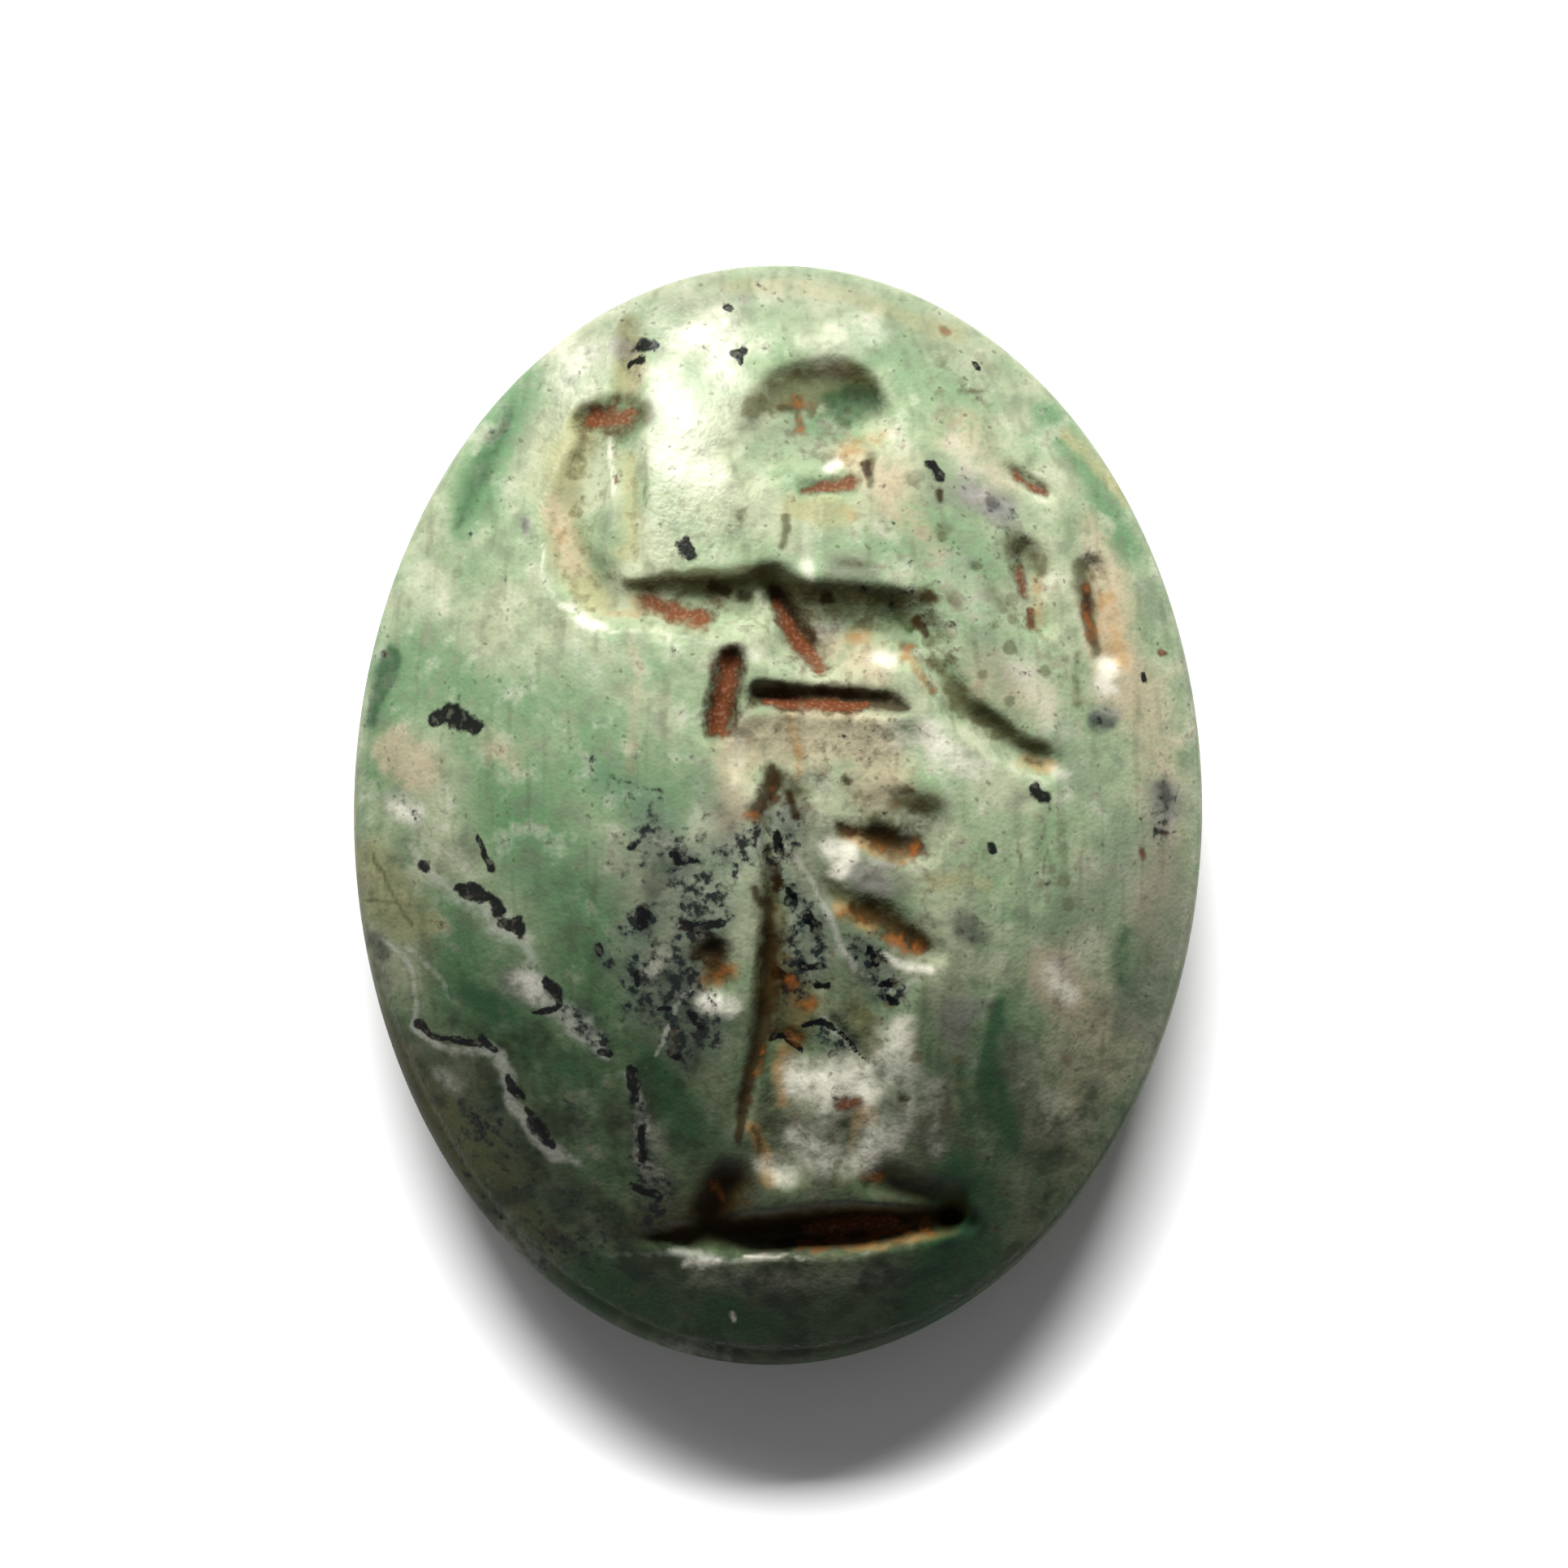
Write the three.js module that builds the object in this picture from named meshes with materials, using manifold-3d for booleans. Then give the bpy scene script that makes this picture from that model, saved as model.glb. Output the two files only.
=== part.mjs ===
import * as THREE from 'three';
import { mergeVertices } from 'three/addons/utils/BufferGeometryUtils.js';
import Module from 'manifold-3d';

// An oval ring stone of mottled green stone. Its domed face is engraved with a standing figure that
// leans on a spear, cut into the stone with small wheels and round drills. Millimetres, +Z up. The
// stone lies face up on its flat back, with the origin in the middle of the back and the figure's
// head towards +Y.

// Driving dimensions of the stone
const STONE_LENGTH = 14.0;
const STONE_WIDTH = 10.8;
const GIRDLE_HEIGHT = 1.35; // from the back up to the widest outline
const BACK_INSET = 0.75; // how far the flat back lies inside the widest outline
const BACK_EDGE_ROUND = 0.16;
const RIM_HEIGHT = 0.3; // from the widest outline up to the edge of the domed face
const RIM_INSET = 0.05; // how far the face's edge lies inside the widest outline
const RIM_INSET_WORN = 0.2; // the same at the lower left, where the rim is ground wider
const DOME_RISE = 1.95; // from the face's edge up to the middle of the face
const DOME_POWER = 2.2; // above 2, the middle of the face is flatter and its edge falls faster
const DEEPEST_CUT = 0.6; // depth of the figure's chest below the face

// The outline departs from a true ellipse by these shares of its radius
const EGG = 0.006; // fuller towards the head end
const LEAN = 0.0034; // fuller at the upper right and lower left
const TRIPLE_COS = 0.0024;
const TRIPLE_SIN = 0.0017;

// Where the worn rim lies, as an angle from +X, and how far it runs to each side
const WORN_RIM_ANGLE = THREE.MathUtils.degToRad(-112);
const WORN_RIM_SPREAD = THREE.MathUtils.degToRad(46);

// The engraving's points and widths below are for a stone of this size, and stretch with the stone
const LAYOUT_LENGTH = 14.0;
const LAYOUT_WIDTH = 10.8;

// Fineness of the faceting
const OUTLINE_SIDES = 72;
const DOME_RINGS = [0.96, 0.88, 0.76, 0.62, 0.45, 0.25];
const SECTION_SIDES = 6; // across the round floor of a cut
const STEP_ALONG_CUT = 0.6; // between sections along a cut
const ROUND_ENDS = [0.96, 0.75, 0.4]; // sections in a cut's round end, as shares of the half width
const CUTTER_CLEAR = 0.5; // how far a cutter stands above the surface that it cuts

// Broad hollows, which print as the raised body of the figure. A path is a list of [x, y] on the face.
// Half widths, and depths as shares of the deepest cut, are read along it from start to end.
const HOLLOWS = [
  { name: 'helmet', path: [[0.4, 5.06], [0.72, 5.06]], half: [0.76, 0.8], depth: [0.6, 0.85] },
  { name: 'face', path: [[-0.18, 4.85], [-0.04, 4.42]], half: [0.34, 0.24], depth: [0.37, 0.3] },
  { name: 'neck', path: [[0.4, 4.1], [0.3, 3.15]], half: [0.27, 0.26], depth: [0.22, 0.2] },
  { name: 'near shoulder', path: [[-0.14, 2.8], [0.35, 2.35]], half: [0.34, 0.55], depth: [0.75, 0.83] },
  { name: 'chest', path: [[0.32, 2.28], [0.85, 2.26], [1.4, 2.3]], half: [0.58, 0.66, 0.5], depth: [0.83, 1, 0.83] },
  { name: 'far shoulder', path: [[1.5, 2.42], [1.85, 2.2]], half: [0.42, 0.32], depth: [0.73, 0.57] },
  { name: 'waist', path: [[0.45, 1.85], [1.05, 1.72]], half: [0.45, 0.48], depth: [0.5, 0.53] },
  { name: 'raised upper arm', path: [[-0.2, 2.64], [-1.1, 2.6], [-1.95, 2.62]], half: [0.38, 0.36, 0.34], depth: [0.7, 0.67, 0.5] },
  { name: 'raised forearm', path: [[-2.0, 2.66], [-2.42, 3.05], [-2.5, 3.8], [-2.2, 4.6]], half: [0.36, 0.42, 0.42, 0.36], depth: [0.47, 0.5, 0.5, 0.47] },
  { name: 'raised hand', path: [[-2.35, 4.98], [-1.8, 5.02]], half: [0.26, 0.26], depth: [0.7, 0.57] },
  { name: 'lowered arm', path: [[1.8, 2.2], [2.2, 1.45], [2.75, 0.98], [3.38, 0.66]], half: [0.3, 0.24, 0.22, 0.2], depth: [0.43, 0.43, 0.43, 0.37] },
  { name: 'hips', path: [[-0.36, 0.75], [0.4, 0.8], [1.4, 0.72]], half: [0.5, 0.85, 0.7], depth: [0.27, 0.5, 0.43] },
  { name: 'standing leg', path: [[0.42, 0.2], [0.4, -1.2], [0.25, -2.7], [0.1, -4.3]], half: [0.62, 0.56, 0.5, 0.42], depth: [0.57, 0.7, 0.63, 0.47] },
  { name: 'bent leg', path: [[1.2, 0.1], [1.35, -1.4], [1.05, -2.6], [0.95, -4.3]], half: [0.8, 0.72, 0.52, 0.42], depth: [0.5, 0.57, 0.43, 0.33] },
  { name: 'gathered cloth', path: [[1.55, 0.1], [1.78, -0.12]], half: [0.4, 0.36], depth: [0.67, 0.67] },
  { name: 'near foot', path: [[-0.32, -4.55], [-0.96, -5.05]], half: [0.31, 0.28], depth: [0.6, 0.7] },
  { name: 'far foot', path: [[1.0, -4.7], [2.35, -4.95]], half: [0.26, 0.24], depth: [0.43, 0.5] },
];

// Narrow wheel cuts, whose depth is counted from the floor of the hollow that they cross
const WHEEL_CUTS = [
  { name: 'ground line', path: [[-1.85, -5.34], [-0.6, -5.32], [1.0, -5.2], [2.4, -5.14]], half: [0.12, 0.25, 0.3, 0.22], depth: [0.17, 0.83, 1, 0.75] },
  { name: 'ground drill', path: [[2.4, -5.12], [2.48, -5.1]], half: [0.17, 0.17], depth: [0.95, 0.95] },
  { name: 'belt', path: [[-0.24, 1.5], [1.4, 1.4]], half: [0.15, 0.13], depth: [0.5, 0.47] },
  { name: 'strap', path: [[-0.02, 2.75], [0.52, 1.9]], half: [0.15, 0.19], depth: [0.3, 0.33] },
  { name: 'side fold', path: [[-0.58, 1.92], [-0.74, 1.1]], half: [0.19, 0.19], depth: [0.6, 0.57] },
  { name: 'collar', path: [[0.38, 4.08], [0.92, 4.15]], half: [0.13, 0.15], depth: [0.33, 0.4] },
  { name: 'helmet fold', path: [[0.14, 5.24], [0.22, 4.82]], half: [0.1, 0.09], depth: [0.23, 0.23] },
  { name: 'spear head', path: [[-1.89, 6.25], [-1.86, 5.78], [-1.98, 5.3]], half: [0.12, 0.23, 0.22], depth: [0.17, 0.33, 0.27] },
  { name: 'spear shaft', path: [[-1.82, 4.62], [-1.78, 3.3]], half: [0.16, 0.16], depth: [0.2, 0.2] },
  { name: 'leg line', path: [[0.02, 0.25], [-0.06, -1.0], [-0.08, -2.0], [-0.22, -3.0], [-0.4, -3.95]], half: [0.2, 0.16, 0.14, 0.13, 0.12], depth: [0.33, 0.43, 0.43, 0.43, 0.27] },
  { name: 'upper fold', path: [[0.82, -0.18], [1.75, -0.42]], half: [0.14, 0.22], depth: [0.3, 0.33] },
  { name: 'lower fold', path: [[0.66, -1.02], [1.95, -1.75]], half: [0.14, 0.2], depth: [0.3, 0.37] },
  { name: 'hem', path: [[0.72, -2.62], [1.22, -3.18]], half: [0.11, 0.09], depth: [0.23, 0.23] },
  { name: 'knee', path: [[-0.81, -1.7], [-0.83, -2.02]], half: [0.25, 0.25], depth: [0.47, 0.47] },
  { name: 'mark by the head', path: [[2.94, 4.33], [3.38, 4.07]], half: [0.12, 0.1], depth: [0.23, 0.23] },
  { name: 'mark by the shoulder', path: [[3.15, 3.25], [3.3, 2.4]], half: [0.3, 0.24], depth: [0.3, 0.27] },
  { name: 'mark by the edge', path: [[3.98, 3.1], [4.18, 2.05]], half: [0.22, 0.28], depth: [0.43, 0.3] },
];

const FACE_EDGE_HEIGHT = GIRDLE_HEIGHT + RIM_HEIGHT;

// How far the outline lies out, at an angle, on a stone of radius 1
function unitRadius(angle) {
  return 1 + EGG * Math.sin(angle) + LEAN * Math.sin(2 * angle)
    + TRIPLE_COS * Math.cos(3 * angle) + TRIPLE_SIN * Math.sin(3 * angle);
}

const outlineAngles = Array.from({ length: OUTLINE_SIDES }, (_, i) => (2 * Math.PI * i) / OUTLINE_SIDES);
const unitOutline = outlineAngles.map((angle) =>
  new THREE.Vector2(Math.cos(angle), Math.sin(angle)).multiplyScalar(unitRadius(angle)));
const unitBox = new THREE.Box2().setFromPoints(unitOutline);
const unitCentre = unitBox.getCenter(new THREE.Vector2());
const unitSize = unitBox.getSize(new THREE.Vector2());

// From a point of the unit outline to millimetres on the stone, and back. The outline's box is then
// exactly as wide and as long as the stone.
function toStone(unit) {
  return new THREE.Vector2(
    ((unit.x - unitCentre.x) * STONE_WIDTH) / unitSize.x,
    ((unit.y - unitCentre.y) * STONE_LENGTH) / unitSize.y,
  );
}
function toUnit(x, y) {
  return new THREE.Vector2(
    (x * unitSize.x) / STONE_WIDTH + unitCentre.x,
    (y * unitSize.y) / STONE_LENGTH + unitCentre.y,
  );
}

// How far the domed face's edge lies inside the outline
function rimInset(angle) {
  const turn = Math.atan2(Math.sin(angle - WORN_RIM_ANGLE), Math.cos(angle - WORN_RIM_ANGLE));
  const worn = Math.exp(-((turn / WORN_RIM_SPREAD) ** 4));
  return RIM_INSET + (RIM_INSET_WORN - RIM_INSET) * worn;
}

// The share of the outline's radius that is left when the outline is drawn in by a distance
function shareInside(angle, distance) {
  const edge = new THREE.Vector2(Math.cos(angle), Math.sin(angle)).multiplyScalar(unitRadius(angle));
  return 1 - distance / toStone(edge).length();
}
const faceShare = (angle) => shareInside(angle, rimInset(angle));

// Height of the uncut face at a point
function faceHeight(x, y) {
  const unit = toUnit(x, y);
  const angle = Math.atan2(unit.y, unit.x);
  const share = unit.length() / (unitRadius(angle) * faceShare(angle));
  return FACE_EDGE_HEIGHT + DOME_RISE * (1 - Math.min(share, 1) ** DOME_POWER);
}

// A ring of the stone's surface: the outline drawn in to a share of its radius, at a height
function stoneRing(shareAt, heightAt) {
  return outlineAngles.map((angle, i) => {
    const { x, y } = toStone(unitOutline[i].clone().multiplyScalar(shareAt(angle)));
    return new THREE.Vector3(x, y, heightAt(x, y));
  });
}

// A closed surface through rings with the same number of points, closed at each end by a fan
function loft(rings, firstCentre, lastCentre) {
  const sides = rings[0].length;
  const points = rings.flat();
  const first = points.push(firstCentre) - 1;
  const last = points.push(lastCentre) - 1;
  const top = (rings.length - 1) * sides;
  const index = [];
  for (let i = 0; i < sides; i++) {
    const next = (i + 1) % sides;
    index.push(first, next, i);
    index.push(last, top + i, top + next);
    for (let start = 0; start < top; start += sides) {
      index.push(start + i, start + next, start + next + sides);
      index.push(start + i, start + next + sides, start + i + sides);
    }
  }
  return new THREE.BufferGeometry().setFromPoints(points).setIndex(index);
}

// The stone before engraving: flat back, flaring side, narrow rim and domed face
function blankStone() {
  const inside = (distance) => (angle) => shareInside(angle, distance);
  const rings = [
    stoneRing(inside(BACK_INSET + BACK_EDGE_ROUND), () => 0),
    stoneRing(inside(BACK_INSET + BACK_EDGE_ROUND * 0.3), () => BACK_EDGE_ROUND * 0.3),
    stoneRing(inside(BACK_INSET), () => BACK_EDGE_ROUND),
    stoneRing(inside(BACK_INSET * 0.3), () => GIRDLE_HEIGHT * 0.55),
    stoneRing(inside(0), () => GIRDLE_HEIGHT),
    stoneRing(faceShare, () => FACE_EDGE_HEIGHT),
    ...DOME_RINGS.map((share) => stoneRing((angle) => share * faceShare(angle), faceHeight)),
  ];
  return loft(rings, new THREE.Vector3(0, 0, 0), new THREE.Vector3(0, 0, faceHeight(0, 0)));
}

// A value read along a list of them, at a share of the way from the first to the last
function readAlong(values, share) {
  const at = share * (values.length - 1);
  const i = Math.min(Math.floor(at), values.length - 2);
  return THREE.MathUtils.lerp(values[i], values[i + 1], at - i);
}

// A cut's middle line, in the layout's millimetres
function cutLine(cut) {
  const points = cut.path.map(([x, y]) => new THREE.Vector3(x, y, 0));
  return points.length === 2 ? new THREE.LineCurve3(...points) : new THREE.CatmullRomCurve3(points, false, 'centripetal');
}

// How deep the hollows are at a point of the layout, so that a wheel cut can start from their floor
const HOLLOW_SAMPLES = 24;
const hollowLines = HOLLOWS.map((cut) => ({ cut, points: cutLine(cut).getSpacedPoints(HOLLOW_SAMPLES) }));
function hollowDepth(spot) {
  let deepest = 0;
  for (const { cut, points } of hollowLines) {
    points.forEach((point, i) => {
      const share = i / HOLLOW_SAMPLES;
      const reach = spot.distanceTo(point) / readAlong(cut.half, share);
      if (reach < 1) deepest = Math.max(deepest, DEEPEST_CUT * readAlong(cut.depth, share) * Math.sqrt(1 - reach ** 2));
    });
  }
  return deepest;
}

// Where along its line, and how far out into its round ends, a cut has its sections
function cutStations(line) {
  const steps = Math.max(2, Math.ceil(line.getLength() / STEP_ALONG_CUT));
  return [
    ...ROUND_ENDS.map((out) => ({ share: 0, beyond: -out })),
    ...Array.from({ length: steps + 1 }, (_, i) => ({ share: i / steps, beyond: 0 })),
    ...ROUND_ENDS.toReversed().map((out) => ({ share: 1, beyond: out })),
  ];
}

// A cutter's section: a round floor below the surface, and an open top that stands clear of it
function cutterRing(cut, line, startDepth, { share, beyond }) {
  const along = line.getTangentAt(share).normalize();
  const half = readAlong(cut.half, share);
  const narrowing = Math.sqrt(1 - beyond ** 2);
  const centre = line.getPointAt(share).addScaledVector(along, beyond * half);
  const across = new THREE.Vector3(-along.y, along.x, 0).multiplyScalar(half * narrowing);
  const depth = DEEPEST_CUT * readAlong(cut.depth, share) * narrowing;
  const floor = startDepth(centre);
  const [stretchX, stretchY] = [STONE_WIDTH / LAYOUT_WIDTH, STONE_LENGTH / LAYOUT_LENGTH];
  const surface = faceHeight(centre.x * stretchX, centre.y * stretchY);
  const place = (side, height) => new THREE.Vector3(
    (centre.x + side * across.x) * stretchX, (centre.y + side * across.y) * stretchY, height);
  const ring = [];
  for (let i = 0; i <= SECTION_SIDES; i++) {
    const angle = (Math.PI * i) / SECTION_SIDES;
    ring.push(place(-Math.cos(angle), surface - floor - depth * Math.sin(angle)));
  }
  ring.push(place(1, surface + CUTTER_CLEAR), place(-1, surface + CUTTER_CLEAR));
  return ring;
}

// The solid that a wheel or drill takes out of the stone
function cutter(cut, startDepth) {
  const line = cutLine(cut);
  const rings = cutStations(line).map((station) => cutterRing(cut, line, startDepth, station));
  const middle = (ring) => ring.reduce((sum, point) => sum.add(point), new THREE.Vector3()).divideScalar(ring.length);
  return loft(rings, middle(rings[0]), middle(rings.at(-1)));
}

const wasm = await Module();
wasm.setup();

// A closed geometry as a solid for cutting
function solidOf(geometry) {
  const merged = mergeVertices(geometry);
  const vertProperties = new Float32Array(merged.attributes.position.array);
  const triVerts = new Uint32Array(merged.index.array);
  return new wasm.Manifold(new wasm.Mesh({ numProp: 3, vertProperties, triVerts }));
}

function geometryOf(solid) {
  const { vertProperties, triVerts } = solid.getMesh();
  const geometry = new THREE.BufferGeometry();
  geometry.setAttribute('position', new THREE.BufferAttribute(vertProperties, 3));
  geometry.setIndex(new THREE.BufferAttribute(triVerts, 1));
  geometry.computeVertexNormals();
  return geometry;
}

// The engraved stone, one solid
function engravedStone() {
  const fromFace = () => 0;
  let stone = solidOf(blankStone());
  for (const hollow of HOLLOWS) stone = stone.subtract(solidOf(cutter(hollow, fromFace)));
  for (const cut of WHEEL_CUTS) stone = stone.subtract(solidOf(cutter(cut, hollowDepth)));
  return geometryOf(stone);
}

const greenStone = new THREE.MeshStandardMaterial({ color: 0xaab89a, roughness: 0.25, metalness: 0 });

const gem = new THREE.Mesh(engravedStone(), greenStone);
gem.name = 'gem';

const part = new THREE.Group();
part.add(gem);

export default part;
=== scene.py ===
import math

import bpy
import numpy as np
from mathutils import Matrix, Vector


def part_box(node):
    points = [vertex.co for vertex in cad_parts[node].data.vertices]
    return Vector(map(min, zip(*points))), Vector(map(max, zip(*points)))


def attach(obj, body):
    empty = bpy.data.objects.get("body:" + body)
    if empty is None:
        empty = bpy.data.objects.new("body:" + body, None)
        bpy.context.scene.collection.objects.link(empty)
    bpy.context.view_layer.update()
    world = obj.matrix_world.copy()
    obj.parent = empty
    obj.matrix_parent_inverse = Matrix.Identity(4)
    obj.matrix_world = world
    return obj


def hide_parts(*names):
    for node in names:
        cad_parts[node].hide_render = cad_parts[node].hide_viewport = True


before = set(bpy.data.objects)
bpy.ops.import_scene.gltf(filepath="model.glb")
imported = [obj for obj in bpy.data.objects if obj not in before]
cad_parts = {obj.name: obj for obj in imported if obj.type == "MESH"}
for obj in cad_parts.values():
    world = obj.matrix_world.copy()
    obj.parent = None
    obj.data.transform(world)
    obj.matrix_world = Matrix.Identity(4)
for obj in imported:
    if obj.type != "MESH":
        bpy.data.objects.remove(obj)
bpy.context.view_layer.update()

# The looks of an engraved ring stone that lies face up. Sizes here are in millimetres, in the part's
# frame: +X across the face, +Y towards the figure's head, +Z out of the face. Meshes are in metres.
MM = 0.001
low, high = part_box("gem")
STONE_WIDTH = (high.x - low.x) / MM
STONE_LENGTH = (high.y - low.y) / MM
STONE_TOP = high.z / MM

# The same outline, dome, rim, side and back as the solid's
GIRDLE_HEIGHT = 1.35
BACK_INSET = 0.75
BACK_EDGE_ROUND = 0.16
RIM_HEIGHT = 0.3
RIM_INSET = 0.05
RIM_INSET_WORN = 0.2
DOME_RISE = 1.95
DOME_POWER = 2.2
DEEPEST_CUT = 0.6
EGG = 0.006
LEAN = 0.0034
TRIPLE_COS = 0.0024
TRIPLE_SIN = 0.0017
WORN_RIM_ANGLE = math.radians(-112)
WORN_RIM_SPREAD = math.radians(46)
LAYOUT_LENGTH = 14.0
LAYOUT_WIDTH = 10.8
FACE_EDGE_HEIGHT = GIRDLE_HEIGHT + RIM_HEIGHT

# Fineness of the mesh: quads across and along the face
FACE_ACROSS = 252
FACE_ALONG = 328
OUTLINE_STEPS = 720
EDGE_SOFTNESS = 0.05  # how far in from the rim the face's edge is worn round
EDGE_DROP = 0.03

# Cuts. Each is (path of [x, y], half widths, depths as shares of the deepest cut, softness).
# Widths and depths are read along the path, and a single one holds all along it. A softness of 0.5 is
# a round-bottomed cut with upright walls, 1 is a bowl, and 2 fades into the face.
HOLLOWS = {
    "helmet": ([(0.4, 5), (0.72, 5)], (0.74, 0.78), (0.42, 0.5), 1.2),
    "face": ([(-0.18, 4.8), (-0.04, 4.42)], (0.34, 0.26), (0.24, 0.26), 1.2),
    "nape": ([(0.85, 4.75), (0.85, 4.35)], (0.5, 0.4), (0.3, 0.15), 1.4),
    "neck": ([(0.4, 4), (0.32, 3.2)], (0.3, 0.28), (0.11, 0.12), 1.6),
    "near shoulder": ([(-0.14, 2.8), (0.35, 2.35)], (0.35, 0.56), (0.7, 0.74), 0.9),
    "chest": ([(0.32, 2.28), (0.85, 2.26), (1.4, 2.3)], (0.62, 0.7, 0.56), (0.76, 0.84, 0.7), 1.1),
    "far shoulder": ([(1.5, 2.42), (1.85, 2.2)], (0.42, 0.36), (0.6, 0.44), 1.3),
    "waist": ([(0.45, 1.85), (1.05, 1.72)], (0.45, 0.48), (0.44, 0.46), 1.1),
    "raised upper arm": (
        [(-0.2, 2.64), (-1.1, 2.6), (-1.95, 2.62)],
        (0.38, 0.38, 0.36),
        (0.62, 0.54, 0.38),
        0.95,
    ),
    "raised forearm": (
        [(-2, 2.66), (-2.42, 3.05), (-2.5, 3.8), (-2.2, 4.6)],
        (0.36, 0.42, 0.42, 0.36),
        (0.42, 0.4, 0.36, 0.4),
        1,
    ),
    "raised hand": ([(-2.32, 4.98), (-1.84, 5.02)], (0.32, 0.28), (0.32, 0.26), 1.4),
    "lowered arm": (
        [(1.8, 2.2), (2.2, 1.45), (2.75, 0.98), (3.38, 0.66)],
        (0.3, 0.24, 0.22, 0.2),
        (0.38, 0.4, 0.4, 0.34),
        1.1,
    ),
    "hips": ([(-0.36, 0.75), (0.4, 0.8), (1.4, 0.72)], (0.5, 0.85, 0.7), (0.25, 0.44, 0.34), 1.3),
    "standing leg": (
        [(0.42, 0.2), (0.4, -1.2), (0.25, -2.7), (0.1, -4.3)],
        (0.64, 0.6, 0.52, 0.42),
        (0.48, 0.6, 0.56, 0.42),
        0.9,
    ),
    "bent leg": (
        [(1.2, 0.1), (1.35, -1.4), (1.05, -2.6), (0.95, -4.3)],
        (0.85, 0.78, 0.55, 0.42),
        (0.42, 0.46, 0.38, 0.28),
        1.5,
    ),
    "gathered cloth": ([(1.55, 0.1), (1.78, -0.12)], (0.42, 0.38), (0.44, 0.46), 1.5),
    "near foot": ([(-0.6, -4.56), (-0.84, -5.02)], (0.24, 0.26), (0.36, 0.52), 1.5),
    "far foot": ([(1.15, -4.58), (2.2, -4.88)], (0.3, 0.28), (0.24, 0.34), 1.8),
}
WHEEL_CUTS = {
    "ground line": (
        [(-1.85, -5.34), (-0.6, -5.32), (1, -5.2), (2.4, -5.14)],
        (0.08, 0.25, 0.3, 0.16),
        (0.05, 0.7, 0.9, 0.24),
        1.1,
    ),
    "ground drill": ([(2.16, -5.08), (2.24, -5.08)], 0.17, (0.8, 0.8), 0.9),
    "crown": (
        [(-0.16, 5.16), (0.1, 5.42), (0.52, 5.54), (0.92, 5.44), (1.22, 5.08)],
        (0.24, 0.34, 0.36, 0.36, 0.3),
        (0.1, 0.2, 0.24, 0.26, 0.26),
        1.6,
    ),
    "helmet edge": ([(-0.02, 4.8), (0.4, 4.62), (0.8, 4.7)], (0.1, 0.09, 0.08), (0.1, 0.08, 0.05), 1),
    "belt": ([(-0.24, 1.5), (1.4, 1.4)], (0.15, 0.13), (0.5, 0.47), 0.6),
    "belt end": ([(1.4, 1.4), (1.66, 1.33)], (0.12, 0.05), (0.4, 0.12), 0.8),
    "strap": ([(-0.02, 2.75), (0.52, 1.9)], (0.15, 0.19), (0.28, 0.31), 0.7),
    "side fold": ([(-0.58, 1.92), (-0.74, 1.1)], 0.2, (0.42, 0.42), 0.9),
    "collar": ([(0.3, 4.1), (0.92, 4.15)], (0.11, 0.16), (0.12, 0.16), 1.1),
    "helmet fold": ([(0.22, 5.24), (0.26, 4.84)], (0.08, 0.07), (0.16, 0.16), 0.8),
    "spear head": ([(-1.89, 6.25), (-1.86, 5.78), (-1.9, 5.3)], (0.12, 0.21, 0.22), (0.12, 0.22, 0.2), 1.1),
    "spear shaft": ([(-1.87, 4.62), (-1.83, 3.2)], 0.19, (0.16, 0.16), 0.9),
    "spear foot": ([(-1.83, 2.2), (-1.76, 0.3)], (0.13, 0.1), (0.05, 0.02), 1.2),
    "leg line": (
        [(-0.02, 0.5), (-0.12, -0.3), (-0.08, -1), (-0.13, -1.7), (-0.2, -2.6), (-0.46, -3.8)],
        (0.12, 0.08, 0.09, 0.1, 0.09, 0.08),
        (0.12, 0.16, 0.34, 0.36, 0.34, 0.16),
        0.8,
    ),
    "upper fold": ([(0.78, -0.2), (1.8, -0.42)], (0.15, 0.26), (0.16, 0.22), 1.5),
    "lower fold": ([(0.66, -0.98), (1.32, -1.28), (1.95, -1.72)], (0.17, 0.24, 0.2), (0.16, 0.23, 0.2), 1.5),
    "hem": ([(0.66, -2.58), (1.12, -3.08)], (0.1, 0.08), (0.2, 0.2), 0.9),
    "front hem": ([(-0.14, -2.84), (0.16, -2.76), (0.36, -2.96)], (0.07, 0.07, 0.06), (0.12, 0.14, 0.1), 0.9),
    "knee": ([(-0.8, -1.74), (-0.76, -2.06)], (0.25, 0.24), (0.24, 0.36), 1.3),
    "hanging cloth": ([(3.13, 0.2), (2.9, -0.78)], (0.12, 0.1), (0.07, 0.05), 1.2),
    "hanging edge": ([(3.41, 0.05), (3.26, -1.09)], (0.11, 0.1), (0.06, 0.05), 1.2),
    "mark by the head": ([(2.94, 4.33), (3.38, 4.07)], (0.12, 0.1), (0.2, 0.2), 0.9),
    "mark by the shoulder": ([(3.15, 3.25), (3.3, 2.4)], (0.3, 0.24), (0.26, 0.22), 1.3),
    "mark by the edge": ([(3.98, 3.1), (4.18, 2.05)], (0.24, 0.28), (0.26, 0.22), 1.4),
    "brow": ([(-0.44, 4.84), (-0.4, 4.78)], 0.08, (0.14, 0.14), 0.9),
    "nose": ([(-0.5, 4.68), (-0.56, 4.58)], (0.06, 0.07), (0.12, 0.14), 0.9),
    "upper lip": ([(-0.46, 4.44), (-0.42, 4.44)], 0.05, (0.1, 0.1), 0.9),
    "lower lip": ([(-0.44, 4.34), (-0.4, 4.34)], 0.05, (0.1, 0.1), 0.9),
    "chin": ([(-0.36, 4.21), (-0.3, 4.19)], 0.08, (0.14, 0.14), 0.9),
}

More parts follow.
